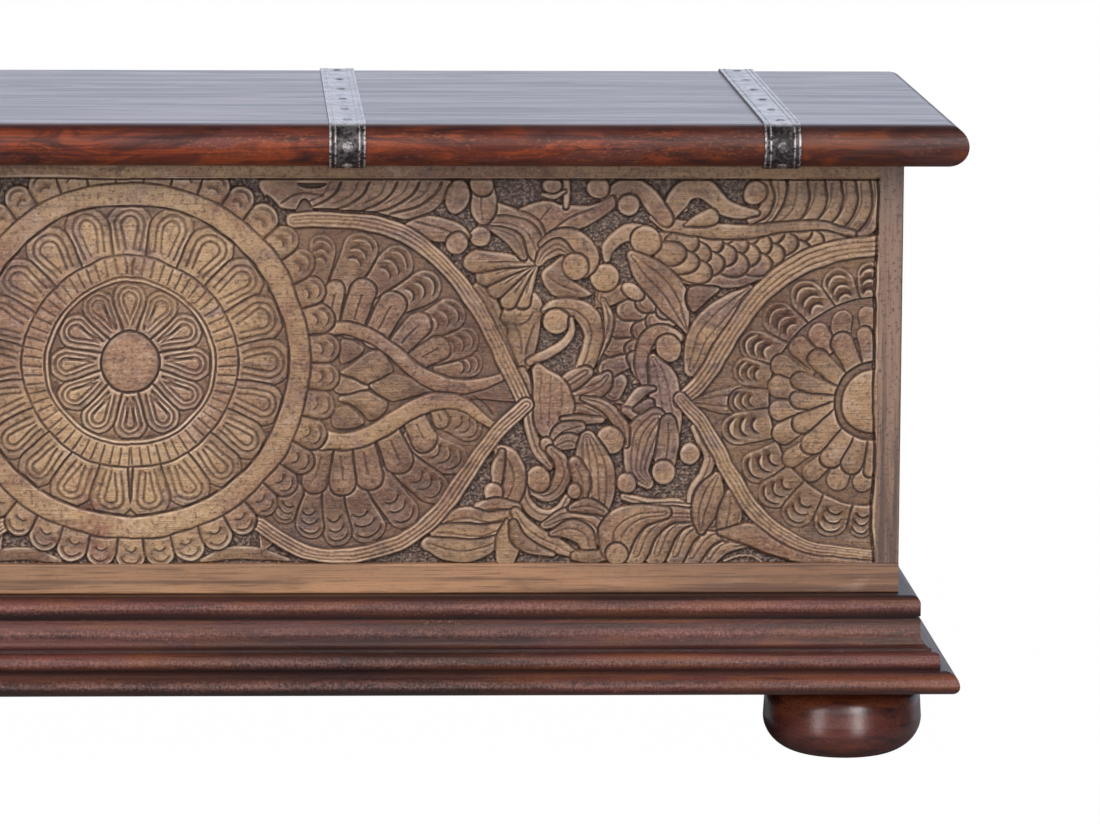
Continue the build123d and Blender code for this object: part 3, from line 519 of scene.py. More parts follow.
class Relief:
    """The heights of one half of the carved field, with the carver's cuts as methods."""

    def __init__(self):
        low_x, high_x, low_z, high_z = FIELD
        self.x = np.arange(low_x, high_x, CELL)
        self.z = np.arange(low_z, high_z, CELL)
        self.height = np.full((len(self.z), len(self.x)), BED)
        self.fullness = 1.0                      # how much wider than told the leaves are cut

    def window(self, low, high, margin):
        """The cells of a box, and their coordinates."""
        columns = slice(*np.searchsorted(self.x, (low[0] - margin, high[0] + margin)))
        rows = slice(*np.searchsorted(self.z, (low[1] - margin, high[1] + margin)))
        return (rows, columns), self.x[None, columns], self.z[rows, None]

    # Forms
    def stroke(self, points):
        """A band along a smooth path through (x, z, half width) points."""
        path = smooth_path(points)
        ends = path[:, :2]
        window, x, z = self.window(ends.min(0), ends.max(0), path[:, 2].max() + MARGIN)
        shape = (z.shape[0], x.shape[1])
        far, along = np.full(shape, BEYOND), np.zeros(shape)
        across, half = np.zeros(shape), np.ones(shape)
        start = 0.0
        for (ax, az, aw), (bx, bz, bw) in zip(path, path[1:]):
            run = math.hypot(bx - ax, bz - az)
            low = (min(ax, bx), min(az, bz))
            high = (max(ax, bx), max(az, bz))
            cells, _, _ = self.window(low, high, max(aw, bw) + MARGIN)
            part = tuple(
                slice(max(0, near.start - whole.start), near.stop - whole.start)
                for near, whole in zip(cells, window)
            )
            px, pz = x[:, part[1]], z[part[0], :]
            t = np.clip(((px - ax) * (bx - ax) + (pz - az) * (bz - az)) / max(run, 1e-6) ** 2, 0, 1)
            off_x, off_z = px - ax - t * (bx - ax), pz - az - t * (bz - az)
            width = aw + t * (bw - aw)
            distance = np.hypot(off_x, off_z)
            nearer = distance - width < far[part]
            side = np.sign((bx - ax) * off_z - (bz - az) * off_x)
            for whole, value in (
                (far, distance - width), (along, start + t * run), (across, side * distance), (half, width),
            ):
                whole[part] = np.where(nearer, value, whole[part])
            start += run
        return Form(window, x, z, far, along, across, half)

    def outline(self, points):
        """A closed shape with a smooth outline through the given points."""
        path = smooth_path(points, closed=True)
        window, x, z = self.window(path.min(0), path.max(0), MARGIN)
        near = np.full((z.shape[0], x.shape[1]), BEYOND)
        inside = np.zeros(near.shape, bool)
        for (ax, az), (bx, bz) in zip(path, np.roll(path, -1, 0)):
            run = (bx - ax) ** 2 + (bz - az) ** 2
            t = np.clip(((x - ax) * (bx - ax) + (z - az) * (bz - az)) / max(run, 1e-9), 0, 1)
            near = np.minimum(near, np.hypot(x - ax - t * (bx - ax), z - az - t * (bz - az)))
            if az != bz:
                crossing = ax + (z - az) * (bx - ax) / (bz - az)
                inside ^= ((az > z) != (bz > z)) & (x < crossing)
        return Form(window, x, z, np.where(inside, -near, near))

    def disc(self, x, z, radius, tall=None, tilt=0.0):
        """A round or oval shape."""
        tall = radius if tall is None else tall
        most = max(radius, tall)
        window, wx, wz = self.window((x - most, z - most), (x + most, z + most), MARGIN)
        c, s = math.cos(math.radians(tilt)), math.sin(math.radians(tilt))
        u, v = (c * (wx - x) + s * (wz - z)) / radius, (c * (wz - z) - s * (wx - x)) / tall
        return Form(window, wx, wz, (np.hypot(u, v) - 1) * min(radius, tall))

    def ring(self, centre, inner, outer):
        """A flat ring between two radii."""
        x, z = centre
        window, wx, wz = self.window((x - outer, z - outer), (x + outer, z + outer), MARGIN)
        middle, half = (inner + outer) / 2, (outer - inner) / 2
        return Form(window, wx, wz, np.abs(np.hypot(wx - x, wz - z) - middle) - half)

    # Cuts
    def stand(self, form, top=TOP, cut=2.1, dome=0.7, swell=7.0):
        """Leave a form standing, with a V cut round it. Its edge is cut lower than its top by cut, and
        its middle is fuller by dome, from swell inside the outline."""
        height = self.height[form.window]
        inside, outside = np.maximum(-form.far, 0), np.maximum(form.far, 0)
        crown = top - cut * np.exp(-inside / 0.5) + dome * (1 - np.exp(-inside / swell))
        trench = np.minimum(height, top - cut + STEEP * outside)
        cover = np.clip(0.5 - form.far / (1.6 * CELL), 0, 1)
        height[:] = trench + (crown - trench) * cover
        return form

    def score(self, form, distance, depth=1.1, width=0.9):
        """A V cut where a distance is nothing, inside a form."""
        height = self.height[form.window]
        fade = np.clip((-0.6 - form.far) / 0.6, 0, 1)
        height -= depth * np.maximum(0, 1 - np.abs(distance) / width) * fade

    def sink(self, form, depth):
        """Cut a form down to a pit with sloped walls."""
        height = self.height[form.window]
        floor = height - depth * (1 - np.exp(np.minimum(form.far, 0) / 0.7))
        height[:] = np.where(form.far < 0, np.maximum(np.minimum(height, floor), 0.4), height)

    def pocket(self, points):
        """Ground cut right down, with steep walls."""
        form = self.outline(points)
        height = self.height[form.window]
        height[:] = np.where(form.far < 0, np.minimum(height, np.maximum(BED + 2.2 * form.far, 0.0)), height)

    def line(self, points, depth=1.3, width=1.0):
        """A V cut along a path that starts and ends shallow."""
        form = self.stroke([(x, z, width) for x, z in points])
        total = form.along.max()
        run = np.clip(np.minimum(form.along, total - form.along) / 3.0 + 0.35, 0, 1)
        height = self.height[form.window]
        height -= depth * run * np.clip(-form.far / width, 0, 1)

    def crescent(self, x, z, radius, towards, depth, ramp):
        """A gouge round a small tip that points towards an angle. It is deep where it meets the tip and
        rises over ramp, and its horns end about 78 degrees to each side."""
        window, wx, wz = self.window((x - radius, z - radius), (x + radius, z + radius), 5.0)
        r = np.hypot(wx - x, wz - z)
        turn = np.degrees(np.arctan2(wz - z, wx - x)) - towards
        turn = (turn + 180) % 360 - 180
        fade = np.clip((78 - np.abs(turn)) / 30, 0, 1)
        slope = np.where(r > radius, np.exp(-(r - radius) / ramp), 0)
        self.height[window] -= depth * fade * slope * np.clip((r - radius) / 0.5, 0, 1)

    # Forms that repeat, left standing
    def petal(
        self, root, tip, half, top=TOP, narrow=0.85, marks=(), gouge=2.0, grooves=(), ribs=(), frame=None,
    ):
        """A petal from its root to its round tip, cut off by a frame if there is one. half is half its
        width near the tip, and narrow the share of it at the root. marks are crescents, as the share of
        the length that their tip reaches and their size as a share of half; grooves follow the outline
        at a distance, and ribs run along it as shares of its width."""
        (rx, rz), (tx, tz) = root, tip
        length = math.hypot(tx - rx, tz - rz)
        ux, uz = (tx - rx) / length, (tz - rz) / length
        cx, cz = tx - half * ux, tz - half * uz
        middle = ((rx + cx) / 2, (rz + cz) / 2, (1 + narrow) / 2 * half)
        form = self.stroke([(rx, rz, narrow * half), middle, (cx, cz, half)])
        own = form.far
        if frame:
            within(form, frame)
        self.stand(form, top)
        for inset in grooves:
            begun = np.clip((form.along - 0.12 * length) / 2, 0, 1)
            self.score(form, np.abs(own + inset) + 3 * (1 - begun), 1.2, 1.3)
        for share in ribs:
            begun = np.clip((form.along - 0.1 * length) / 2, 0, 1)
            open_still = np.clip((0.72 * length - form.along) / 2, 0, 1)
            off = np.abs(form.across / form.half - share) * form.half
            self.score(form, off + 3 * (1 - open_still * begun), 1.2)
        towards = math.degrees(math.atan2(uz, ux))
        for place, size in marks:
            radius = size * half
            away = place * length - radius
            self.crescent(rx + away * ux, rz + away * uz, radius, towards, gouge, 0.9 * gouge)

    def leaf(self, points, top=TOP, vein=False, lines=()):
        """A leaf or strip along a path of (x, z, half width), with a vein along its middle or lines as
        shares of its half width."""
        form = self.stand(self.stroke([(x, z, half * self.fullness) for x, z, half in points]), top)
        if vein:
            self.score(form, form.across, 1.2)
        for share in lines:
            self.score(form, form.across - share * form.half, 1.1, 0.8)

    def knob(self, x, z, radius, tall=None, tilt=0.0, top=TOP + 0.2):
        """A round or oval knob, domed more than the other forms."""
        self.stand(self.disc(x, z, radius, tall, tilt), top, dome=1.1, swell=4.0)

    def blob(self, points, top=TOP, **shape):
        """A form with its own outline, left standing."""
        return self.stand(self.outline(points), top, **shape)


# ---- The motifs: points are X and Z in millimetres, with a half width where a band follows them
BAND_LINES = (-0.45, 0.05, 0.5)           # on the bands round the medallions, as shares of their half width
SCALE_MARKS = ((0.86, 0.68), (0.66, 0.54), (0.46, 0.42))

# The round medallion, from its hub out: radii, and steps and edges as angles
HUB, HUB_FLOOR, HUB_PETALS = 21.5, 56.8, (20, 58)
BEAD, COLLAR, NOTCHED = (57.3, 60.6), (56.5, 76.5), (61.5, 76.0)
NOTCH_MIDDLE, NOTCH_STEP = 68, 5.54
PETAL_FLOOR, PETAL_FRAME, PETAL_ROOT, PETAL_TIP, PETAL_WIDEST = (60.0, 113.2), (60.0, 113.0), 74, 116, 108
PETAL_EDGES = (99, 81, 63, 45, 27.5, 9, -9.5, -26, -42, -58, -74, -90, -106)
PLAIN_BAND = (113.6, 130.0)
SCALLOP_ROOT, SCALLOP_TIP, SCALLOP_STEP = 122, 151.5, 360 / 42

# The leaf-shaped medallion beside it. Scallops, fingers and beads are root, tip and half width
LEAF_BORDER = [
    (118, 392), (140, 392), (160, 391.5), (180, 388.5), (200, 381), (215, 371.5), (230, 357.5), (240, 345),
    (250, 328), (260, 309), (270, 289), (283, 260),
]
LEAF_BORDER_LOW = [
    (284, 258), (266, 240), (252, 222), (240, 204), (225, 183), (208, 167.5), (188, 156), (165, 150),
    (145, 149), (125, 152.5), (108, 161), (92, 171),
]
UPPER_RIBBON = [
    (143, 314, 5), (156, 314.5, 5), (170, 309, 5.2), (184, 299.5, 5.5), (200, 287, 6), (215, 277.5, 6.5),
    (232, 272.5, 6.5), (250, 273, 5), (270, 279, 3),
]
LOWER_RIBBON = [
    (139, 234, 6.8), (156, 233.5, 6.8), (169, 236.5, 6.8), (181, 242, 6.8), (193, 250, 6.8),
    (206, 258, 6.8), (221, 262.5, 6.6), (238, 259.5, 5.5), (252, 250, 4), (262, 243, 3),
]
UPPER_SCALLOPS = [
    ((226, 285), (254, 291), 9.5), ((216, 297), (250, 309), 10.5), ((204, 312), (240, 331), 11.5),
    ((185, 332), (223, 351), 12), ((172, 345), (202, 371), 12), ((155, 350), (172, 382), 12),
    ((134, 350), (140, 381), 10),
]
UPPER_FINGERS = [
    ((206, 291), (229, 305.5), 9), ((191, 299), (214, 325), 9.6), ((175, 307), (194, 341), 10),
    ((159, 315), (171, 351), 9.8), ((145, 320), (149, 350), 7),
]
LOWER_SCALLOPS = [
    ((224, 252), (253, 237), 10.5), ((205, 233), (242, 213), 11.5), ((196, 217), (227, 190), 12),
    ((180, 205), (203, 170), 12), ((161, 196), (176, 158), 12), ((145, 193), (151, 156), 10.8),
    ((129, 196), (129, 162), 9.6), ((118, 196), (107, 172), 8),
]
LOWER_FINGERS = [
    ((219, 256), (226, 242), 6), ((203, 249), (216, 225.5), 10), ((184, 238), (199, 210), 10.2),
    ((167, 230), (177, 198), 10.2), ((151, 228), (155, 193), 10.8), ((139, 228), (130, 195), 9.5),
]
BUDS = [
    [(148, 268), (160, 267), (170, 269), (172, 273), (162, 278), (150, 281), (147, 275)],
    [(151, 289), (151, 306), (158, 307), (164, 304), (168, 299), (162, 292)],
    [
        (151, 283), (160, 289.5), (170, 297), (178, 297.5), (184, 291), (187.5, 282.5), (178, 276),
        (170, 273.5), (160, 278.5),
    ],
    [
        (171, 273), (179, 277), (187, 281.5), (196, 281), (208, 275), (218, 269.3), (206, 266.3),
        (193, 262), (186, 261), (178, 266),
    ],
    [
        (151, 265.5), (160, 268), (170, 269.7), (177, 266), (184, 261), (184, 255), (178, 248.5),
        (171, 248), (166, 254), (159, 259.5), (151, 262),
    ],
    [(145, 244), (146, 256), (156, 259.5), (164, 254), (169, 247), (163, 243), (153, 242)],
]

# The half medallion at the end of the board, the radii of the steps under its rows, and its last line
END_HUB, END_RIM, BEAD_FLOOR, SCALLOP_FLOOR = 24, 29, 47, 76
END_LINE = 537.6
END_BORDER = [
    (541, 375, 8), (520, 372.5, 8), (504, 369, 8), (487, 363, 8), (472, 354, 8), (458, 343, 7.6),
    (446, 330, 7.4), (436, 315, 7.2), (427, 300, 7), (418, 286, 6.8), (408, 273, 6), (397, 262, 5),
]
END_BORDER_LOW = [
    (397, 264, 5), (412, 247, 5.5), (424, 228, 5.8), (433, 211, 6), (442, 196, 6), (452, 182, 6),
    (464, 170, 6), (478, 161, 5.6), (495, 154, 5), (515, 150, 4.6), (541, 148, 4.2),
]
END_SCALLOPS = [
    ((534, 326), (533, 362), 8.5), ((519, 324), (506, 358), 12.5), ((502, 318), (480, 347), 12.5),
    ((487, 305), (458, 329), 12), ((473, 294), (440, 305), 12), ((466, 279), (434, 284), 10.5),
    ((460, 262), (431, 260), 9.5), ((468, 247), (428, 238), 12), ((478, 228), (444, 207), 12),
    ((486, 210), (457, 187), 12), ((497, 198), (477, 171), 11.8), ((515, 194), (504, 162), 12),
    ((534, 190), (528, 160), 9),
]
END_BEADS = [
    ((536, 300), (531, 331), 7.5), ((514, 290), (513, 328), 8), ((508, 296), (492, 318), 8.5),
    ((497, 290), (477, 307), 8.5), ((484, 280), (464, 293), 8.5), ((482, 270), (461, 274), 8.3),
    ((482, 257), (461, 255), 7.6), ((484, 247), (464, 235), 8.5), ((492, 230), (472, 217), 8),
    ((503, 218), (488, 204), 8), ((516, 212), (509, 196), 8.5), ((533, 212), (529, 195), 7.8),
]
END_PETALS = [
    ((536, 286), (529, 315), 6.5), ((524, 284), (511, 311), 8), ((514, 276), (492, 298), 8),
    ((510, 268), (479, 279), 6.5), ((508, 262), (477, 264), 6), ((507, 256), (478, 244), 8),
    ((512, 250), (487, 225), 9.5), ((522, 240), (502, 213), 9), ((532, 238), (519, 208), 8),
    ((538, 236), (535, 205), 5),
]


def round_medallion(relief):
    """Scallops, a plain band, large petals, a notched collar, and small petals round the hub."""
    def around(angle, radius):
        a = math.radians(angle)
        return CENTRE[0] + radius * math.cos(a), CENTRE[1] + radius * math.sin(a)

    for n in range(-11, 11):
        angle = (n + 0.5) * SCALLOP_STEP
        root, tip = around(angle, SCALLOP_ROOT), around(angle, SCALLOP_TIP)
        relief.petal(root, tip, 10.9, marks=((0.84, 0.56), (0.56, 0.34)))
    relief.stand(relief.ring(CENTRE, *PLAIN_BAND), TOP + 0.5, dome=0.2)
    relief.stand(relief.ring(CENTRE, *PETAL_FLOOR), TOP - 0.9, cut=0.5)
    frame = relief.ring(CENTRE, *PETAL_FRAME)
    for high, low in zip(PETAL_EDGES, PETAL_EDGES[1:]):
        angle, half = (high + low) / 2, PETAL_WIDEST * math.sin(math.radians((high - low) / 2))
        root, tip = around(angle, PETAL_ROOT), around(angle, PETAL_TIP)
        relief.petal(root, tip, half, narrow=0.72, grooves=(6.0, 10.6), frame=frame)
    relief.stand(relief.ring(CENTRE, *COLLAR), TOP + 0.4, dome=0.2)
    notched = relief.ring(CENTRE, *NOTCHED)
    turn = np.degrees(np.arctan2(notched.z - CENTRE[1], notched.x - CENTRE[0]))
    off = (turn + 90) % NOTCH_STEP
    relief.score(notched, np.radians(np.minimum(off, NOTCH_STEP - off)) * NOTCH_MIDDLE, 1.3)
    relief.stand(relief.ring(CENTRE, *BEAD), TOP + 0.6, dome=0.2)
    frame = relief.stand(relief.disc(*CENTRE, HUB_FLOOR), TOP - 0.8, cut=0.5)
    for n in range(-4, 4):
        root, tip = (around(30 * n, radius) for radius in HUB_PETALS)
        relief.petal(root, tip, 12.4, TOP, 0.42, grooves=(4.2, 7.6), ribs=(0.3,), frame=frame)
    relief.knob(*CENTRE, HUB, top=TOP - 0.2)


def leaf_medallion(relief):
    """Rows of scallops and fingers round six buds, two ribbons over them and a double border."""
    for root, tip, half in UPPER_SCALLOPS + LOWER_SCALLOPS:
        relief.petal(root, tip, half + 0.8, top=TOP - 0.5, marks=SCALE_MARKS, gouge=2.4)
    for root, tip, half in UPPER_FINGERS + LOWER_FINGERS:
        relief.petal(root, tip, half + 0.3, top=TOP - 0.1, ribs=(0.0,))
    for points in BUDS:
        relief.blob(points, TOP - 0.4)
    relief.leaf([(234, 264, 0.5), (246, 266, 4), (262, 268, 7), (276, 268, 8)], TOP - 0.6)
    relief.line([(246, 265), (256, 257), (262, 250)])
    relief.leaf(UPPER_RIBBON, TOP + 0.3)
    relief.leaf(LOWER_RIBBON, TOP + 0.4)
    for border in (LEAF_BORDER, LEAF_BORDER_LOW):
        relief.leaf([(x, z, 6.0) for x, z in border], TOP + 0.5, lines=BAND_LINES)


def end_medallion(relief):
    """Rows of scallops, beads and petals round half a hub, on steps that fall towards it."""
    relief.leaf(
        [(446, 262, 12), (430, 261.5, 10), (415, 262, 6), (403, 262.5, 2)], TOP - 0.7, lines=(-0.4, 0.4),
    )
    for root, tip, half in END_SCALLOPS:
        relief.petal(root, tip, half + 0.5, top=TOP - 0.5, marks=SCALE_MARKS, gouge=3.4)
    relief.stand(relief.ring(END, 0, SCALLOP_FLOOR), 3.0, cut=0.8)
    for root, tip, half in END_BEADS:
        relief.petal(root, tip, half, top=TOP - 0.1)
    relief.stand(relief.disc(*END, BEAD_FLOOR), 3.0, cut=0.8)
    for root, tip, half in END_PETALS:
        relief.petal(root, tip, half, top=TOP - 0.1)
    relief.stand(relief.disc(*END, END_RIM), 2.4, cut=0.5)
    relief.knob(*END, END_HUB, top=TOP)
    for border in (END_BORDER, END_BORDER_LOW):
        relief.leaf(border, TOP + 0.5, lines=BAND_LINES)


def top_leaves(relief):
    """The ribbed leaves along the top, left and right of the foliage."""
    relief.blob([
        (96, 423), (160, 424), (226, 423), (227, 410), (216, 399), (200, 392), (186, 395), (165, 399),
        (140, 400), (118, 400), (102, 404),
    ])
    for x in (224, 208, 192, 172, 152):
        relief.line([(x, 421), (x - 6, 410), (x - 20, 401), (x - 38, 396)], 1.8, 1.3)
        relief.line([(x - 8, 421), (x - 13, 411), (x - 25, 404)], 1.0)
    relief.line([(108, 404), (122, 412), (140, 410)])
    relief.sink(relief.outline([(120, 419.5), (141, 419.5), (136, 416), (125, 416)]), 2.5)
    for points in (
        [(466, 421, 4), (467, 406, 6), (463, 396, 6), (456, 389, 4)],
        [(536, 421, 5), (535, 402, 6), (531, 390, 5), (526, 384, 3)],
        [(526, 419, 5), (525, 403, 6), (520, 392, 6), (512, 384, 3)],
        [(515.5, 419, 5), (514, 405, 6), (509, 395, 6), (500, 387, 3)],
        [(505, 419, 5), (504, 406, 6), (498, 396, 6), (489, 388, 3)],
        [(493.5, 419, 5), (492, 406, 6.5), (486, 396, 6), (476, 388.5, 3)],
        [(480, 419, 5.5), (480, 408, 6.5), (476, 398, 6), (466, 389.5, 3)],
    ):
        relief.leaf(points, lines=(-0.1,))


def long_body(relief):
    """The scaled body that tapers to the end medallion, with its round head and hook."""
    relief.leaf([
        (376, 394, 2), (390, 388.5, 4.5), (404, 386, 4.5), (425, 385, 5), (445, 385, 4.5), (470, 387, 4),
        (495, 388, 3.5), (520, 383, 2),
    ], TOP - 0.1)
    body = relief.blob([
        (378, 382), (390, 384), (402, 381.4), (418.6, 379.5), (437, 379.5), (450, 380.5), (469, 383.7),
        (492.5, 385), (505, 384.4), (515, 379), (496, 371), (474, 359), (460, 352), (442, 345),
        (425, 343.5), (406, 343.5), (397, 345), (387, 351.4), (377, 362.6),
    ], TOP - 0.2)
    for x, row in (
        (487, (377,)), (478, (384, 369)), (469, (376,)), (460, (384, 368)), (451, (376, 361)),
        (442, (384, 368)), (433, (376, 361)), (424, (384, 368)), (415, (376, 361)), (406, (368, 354)),
        (397, (376, 361)), (388, (368,)),
    ):
        for z in row:
            scale = within(relief.disc(x, z, 12.5, 9.4), body)
            relief.stand(scale, TOP, cut=2.0, dome=0.7, swell=4)
    relief.leaf([(342, 364, 2), (342.5, 371, 3.4), (350, 379, 4), (360, 383, 5), (370, 381, 5)], TOP + 0.1)
    relief.knob(371, 377, 11.8, 11.2)


def s_scroll(relief):
    """The scroll like an S above the body, and the hook on its left."""
    relief.leaf([(449, 394, 2.5), (457, 400, 3.4), (459, 409, 3.6), (456, 419, 3.4)], TOP - 0.1)
    relief.leaf([
        (386, 392, 3), (389, 402, 5.5), (396, 411.5, 6), (405, 416.5, 5.6), (414, 415, 5.4),
        (421, 408.5, 5.6), (431, 403, 4.6), (442, 400, 3.6), (452, 399, 2),
    ], TOP + 0.1)
    eye = relief.outline(
        [(400, 400), (401, 408), (409, 410), (416, 406.5), (420, 402), (412, 400.5), (406, 397.5)],
    )
    relief.sink(eye, 3.4)
    for shift in (-4, 0, 4, 8):
        relief.line([(402 + shift, 399.5), (407 + shift, 407)], 0.8)
    relief.leaf([(418, 396.5, 5.2), (409, 393, 3.8), (399, 389.5, 1)])
    relief.leaf([
        (341, 405, 3), (346, 411, 4.6), (354, 415.5, 5), (363, 416.5, 4.8), (371, 411, 5), (377, 403, 5),
        (385, 393, 4.4),
    ], TOP + 0.1)
    relief.knob(358, 404, 8.6)
    relief.knob(450, 413.5, 8.3)


def upper_foliage(relief):
    """From the leaf medallion's border up to the knobs and curls under the plain strip."""
    # trunk and fan
    relief.leaf([
        (250, 344, 3), (258, 332, 4.6), (264, 318, 4.6), (270, 303, 3.6), (277, 287, 2),
    ], TOP - 0.3, lines=(0.2,))
    relief.blob([
        (266, 322), (272, 313), (271, 306), (276, 294), (281, 282), (288, 284), (292, 294), (296, 312),
        (298, 332), (290, 340), (276, 336),
    ], TOP - 0.2)
    relief.line([(280, 315), (287, 319), (291, 326)])
    relief.line([(292, 317), (288, 305), (285, 292)])
    relief.line([(276, 318), (281, 306), (283, 294)], 1.0)
    for tip, half in (
        ((281, 327), 6.5), ((269, 328), 6.5), ((258, 338), 7), ((249, 350), 7.5), ((241, 363), 8.5),
    ):
        relief.petal((292, 362), tip, half, narrow=0.35, ribs=(0.1,))
    # leaf under the strip, and the knobs that hang from it
    relief.blob([
        (276, 399), (286, 404), (301, 406.5), (311, 402.5), (331, 403), (346, 411), (349, 404), (345, 399),
        (330, 388), (317, 382.6), (303, 380), (291, 386),
    ])
    relief.line([(303.5, 384), (312, 391), (322, 396), (334, 401)])
    relief.line([(293, 391), (302, 401)], 1.0)
    relief.leaf([(313, 401, 1.6), (313.5, 411, 2), (313, 421, 2)], TOP + 0.1)
    relief.leaf([(296, 411, 1.2), (304, 409.5, 2.2), (312, 413, 1.4)], TOP - 0.1)
    relief.knob(303, 417.5, 7.5, 6)
    relief.knob(336, 416, 8.5)
    # strips that curl round the small knob
    relief.leaf([
        (250, 409, 2), (262, 402, 3.6), (272, 399, 3.8), (281, 395, 3.8), (290, 389, 3.4), (297, 380, 2),
    ], TOP + 0.1)
    relief.leaf([
        (252, 388, 2), (262, 391, 4.4), (272, 390, 5.4), (281, 386, 6), (288, 378, 6), (293, 368, 4.4),
        (296, 361, 1.5),
    ], lines=(0.1,))
    relief.leaf(
        [(258, 387, 1.5), (268, 384, 3.4), (277, 377, 4.4), (283, 366, 2.6)], TOP - 0.2, lines=(0.2,),
    )
    relief.knob(251.5, 381, 7.9)
    relief.leaf([(253, 413, 6.5), (253.5, 403, 7.5), (254, 394, 4)], lines=(-0.2,))
    relief.knob(252, 418.5, 8.8)
    relief.blob([
        (200, 391), (214, 396.5), (230, 393.5), (240, 388.5), (245, 381), (236, 376), (226, 378),
        (214, 379), (198, 386),
    ])
    relief.line([(204, 391), (219, 388.5), (235, 383)])
    relief.knob(235, 377, 8.4)
    relief.knob(234.5, 410, 8.6, 12.8, -15)
    # curl round the middle knob
    relief.leaf([
        (297, 375, 2.5), (306, 379, 4.4), (316, 378.5, 5.4), (325, 371.5, 6), (329, 362, 5.6),
        (326, 354, 3),
    ])
    relief.leaf(
        [(294, 361, 2), (299, 368, 4), (308, 372, 4.6), (317, 367, 2)], TOP - 0.2, lines=(-0.35, 0.25),
    )
    relief.blob([
        (296, 352), (304, 361), (312, 366), (313, 352), (322, 346), (332, 338), (318, 335), (304, 338),
    ], TOP - 0.7)
    relief.line([(300, 352), (310, 344), (322, 340)], 0.9)
    relief.knob(320, 358, 9.8)
    # big spiral
    relief.leaf([
        (327, 285, 4), (332, 297, 5), (334, 309, 5.4), (330.5, 320, 6), (321, 328, 5.4), (309, 330.5, 4),
        (299, 327, 2),
    ], lines=(0.3,))
    relief.knob(307.5, 319, 9.8)
    relief.leaf(
        [(288, 289, 2.6), (300, 294, 2.8), (311, 301, 2.6), (318, 311, 2.2), (318, 320, 1.5)], TOP + 0.2,
    )


def middle_foliage(relief):
    """Feathers and leaves between the big spiral and the end medallion."""
    for root, tip, half in (
        ((352, 276), (344, 262), 6.5), ((356, 290), (337, 282), 7), ((358, 302), (339, 298), 7.5),
        ((366, 314), (344, 314), 8), ((376, 306), (357, 294), 7.5), ((374, 326), (350, 328), 8),
        ((380, 318), (362, 308), 8), ((390, 322), (372, 318), 8.5), ((386, 334), (364, 333), 7.5),
        ((398, 332), (380, 326), 8), ((362, 292), (372, 277), 6), ((354, 340), (336, 334), 7),
    ):
        relief.petal(root, tip, half, top=TOP - 0.3, marks=((0.8, 0.5),), gouge=1.4)
    relief.leaf([(335, 292, 2.4), (342, 306, 3.2), (345, 320, 3), (340, 334, 1.5)], TOP, vein=True)
    relief.knob(362, 341, 9.4, 5.8, -25)
    relief.leaf(
        [(360, 366, 3), (371, 356, 7.6), (384, 344, 9), (394, 329, 7), (402, 310, 0.6)], lines=(-0.3, 0.3),
    )
    relief.leaf(
        [(405, 286, 5), (411, 300, 9), (420, 314, 10.5), (431, 328, 8), (446, 343, 2)], lines=(-0.1, 0.45),
    )
    relief.blob([(404, 343), (424, 343.5), (416, 334), (406, 324), (400, 334)], TOP - 1.4)
    relief.knob(341, 350.5, 10.6)
    # hooked stem between the medallions
    relief.leaf([
        (374, 270, 3.4), (368.5, 284, 4), (368.5, 297, 4.2), (374, 307.5, 4.6), (384, 312, 4.4),
        (396, 307.5, 2.4),
    ])
    relief.knob(387.5, 300.5, 9.8)
    relief.leaf([
        (391, 238, 4), (388, 253, 8.4), (385, 268, 9), (382, 281, 7), (376, 293, 2.6),
    ], TOP + 0.1, lines=(-0.3, 0.3))
    relief.leaf([(377, 271, 1.4), (367, 268, 3.4), (358, 256, 3.2)])
    relief.leaf([(357, 255, 2.4), (366, 250.5, 3.4), (378, 245, 2)])
    relief.blob([(362, 256), (370, 263), (377, 263), (377, 253), (369, 252)], TOP - 0.5)
    relief.leaf([
        (378, 248, 7), (371, 238, 9.6), (367, 224, 8.6), (366, 211, 6.4), (374, 202, 3),
    ], lines=(-0.5, -0.1, 0.3, 0.65))
    relief.leaf([(388, 246, 5), (388, 232, 6.4), (386, 219, 6)], TOP - 0.1, lines=(0.0,))
    relief.knob(385, 210, 8.8, 9.4)
    relief.leaf([
        (408, 243, 2.4), (414, 232, 3.2), (419.5, 221, 3.6), (416, 209, 3.6), (408, 198, 3.4),
        (405, 186, 2.6),
    ], lines=(0.0,))
    relief.knob(404.5, 224, 8.2)
    relief.knob(357.8, 202.6, 7.8)


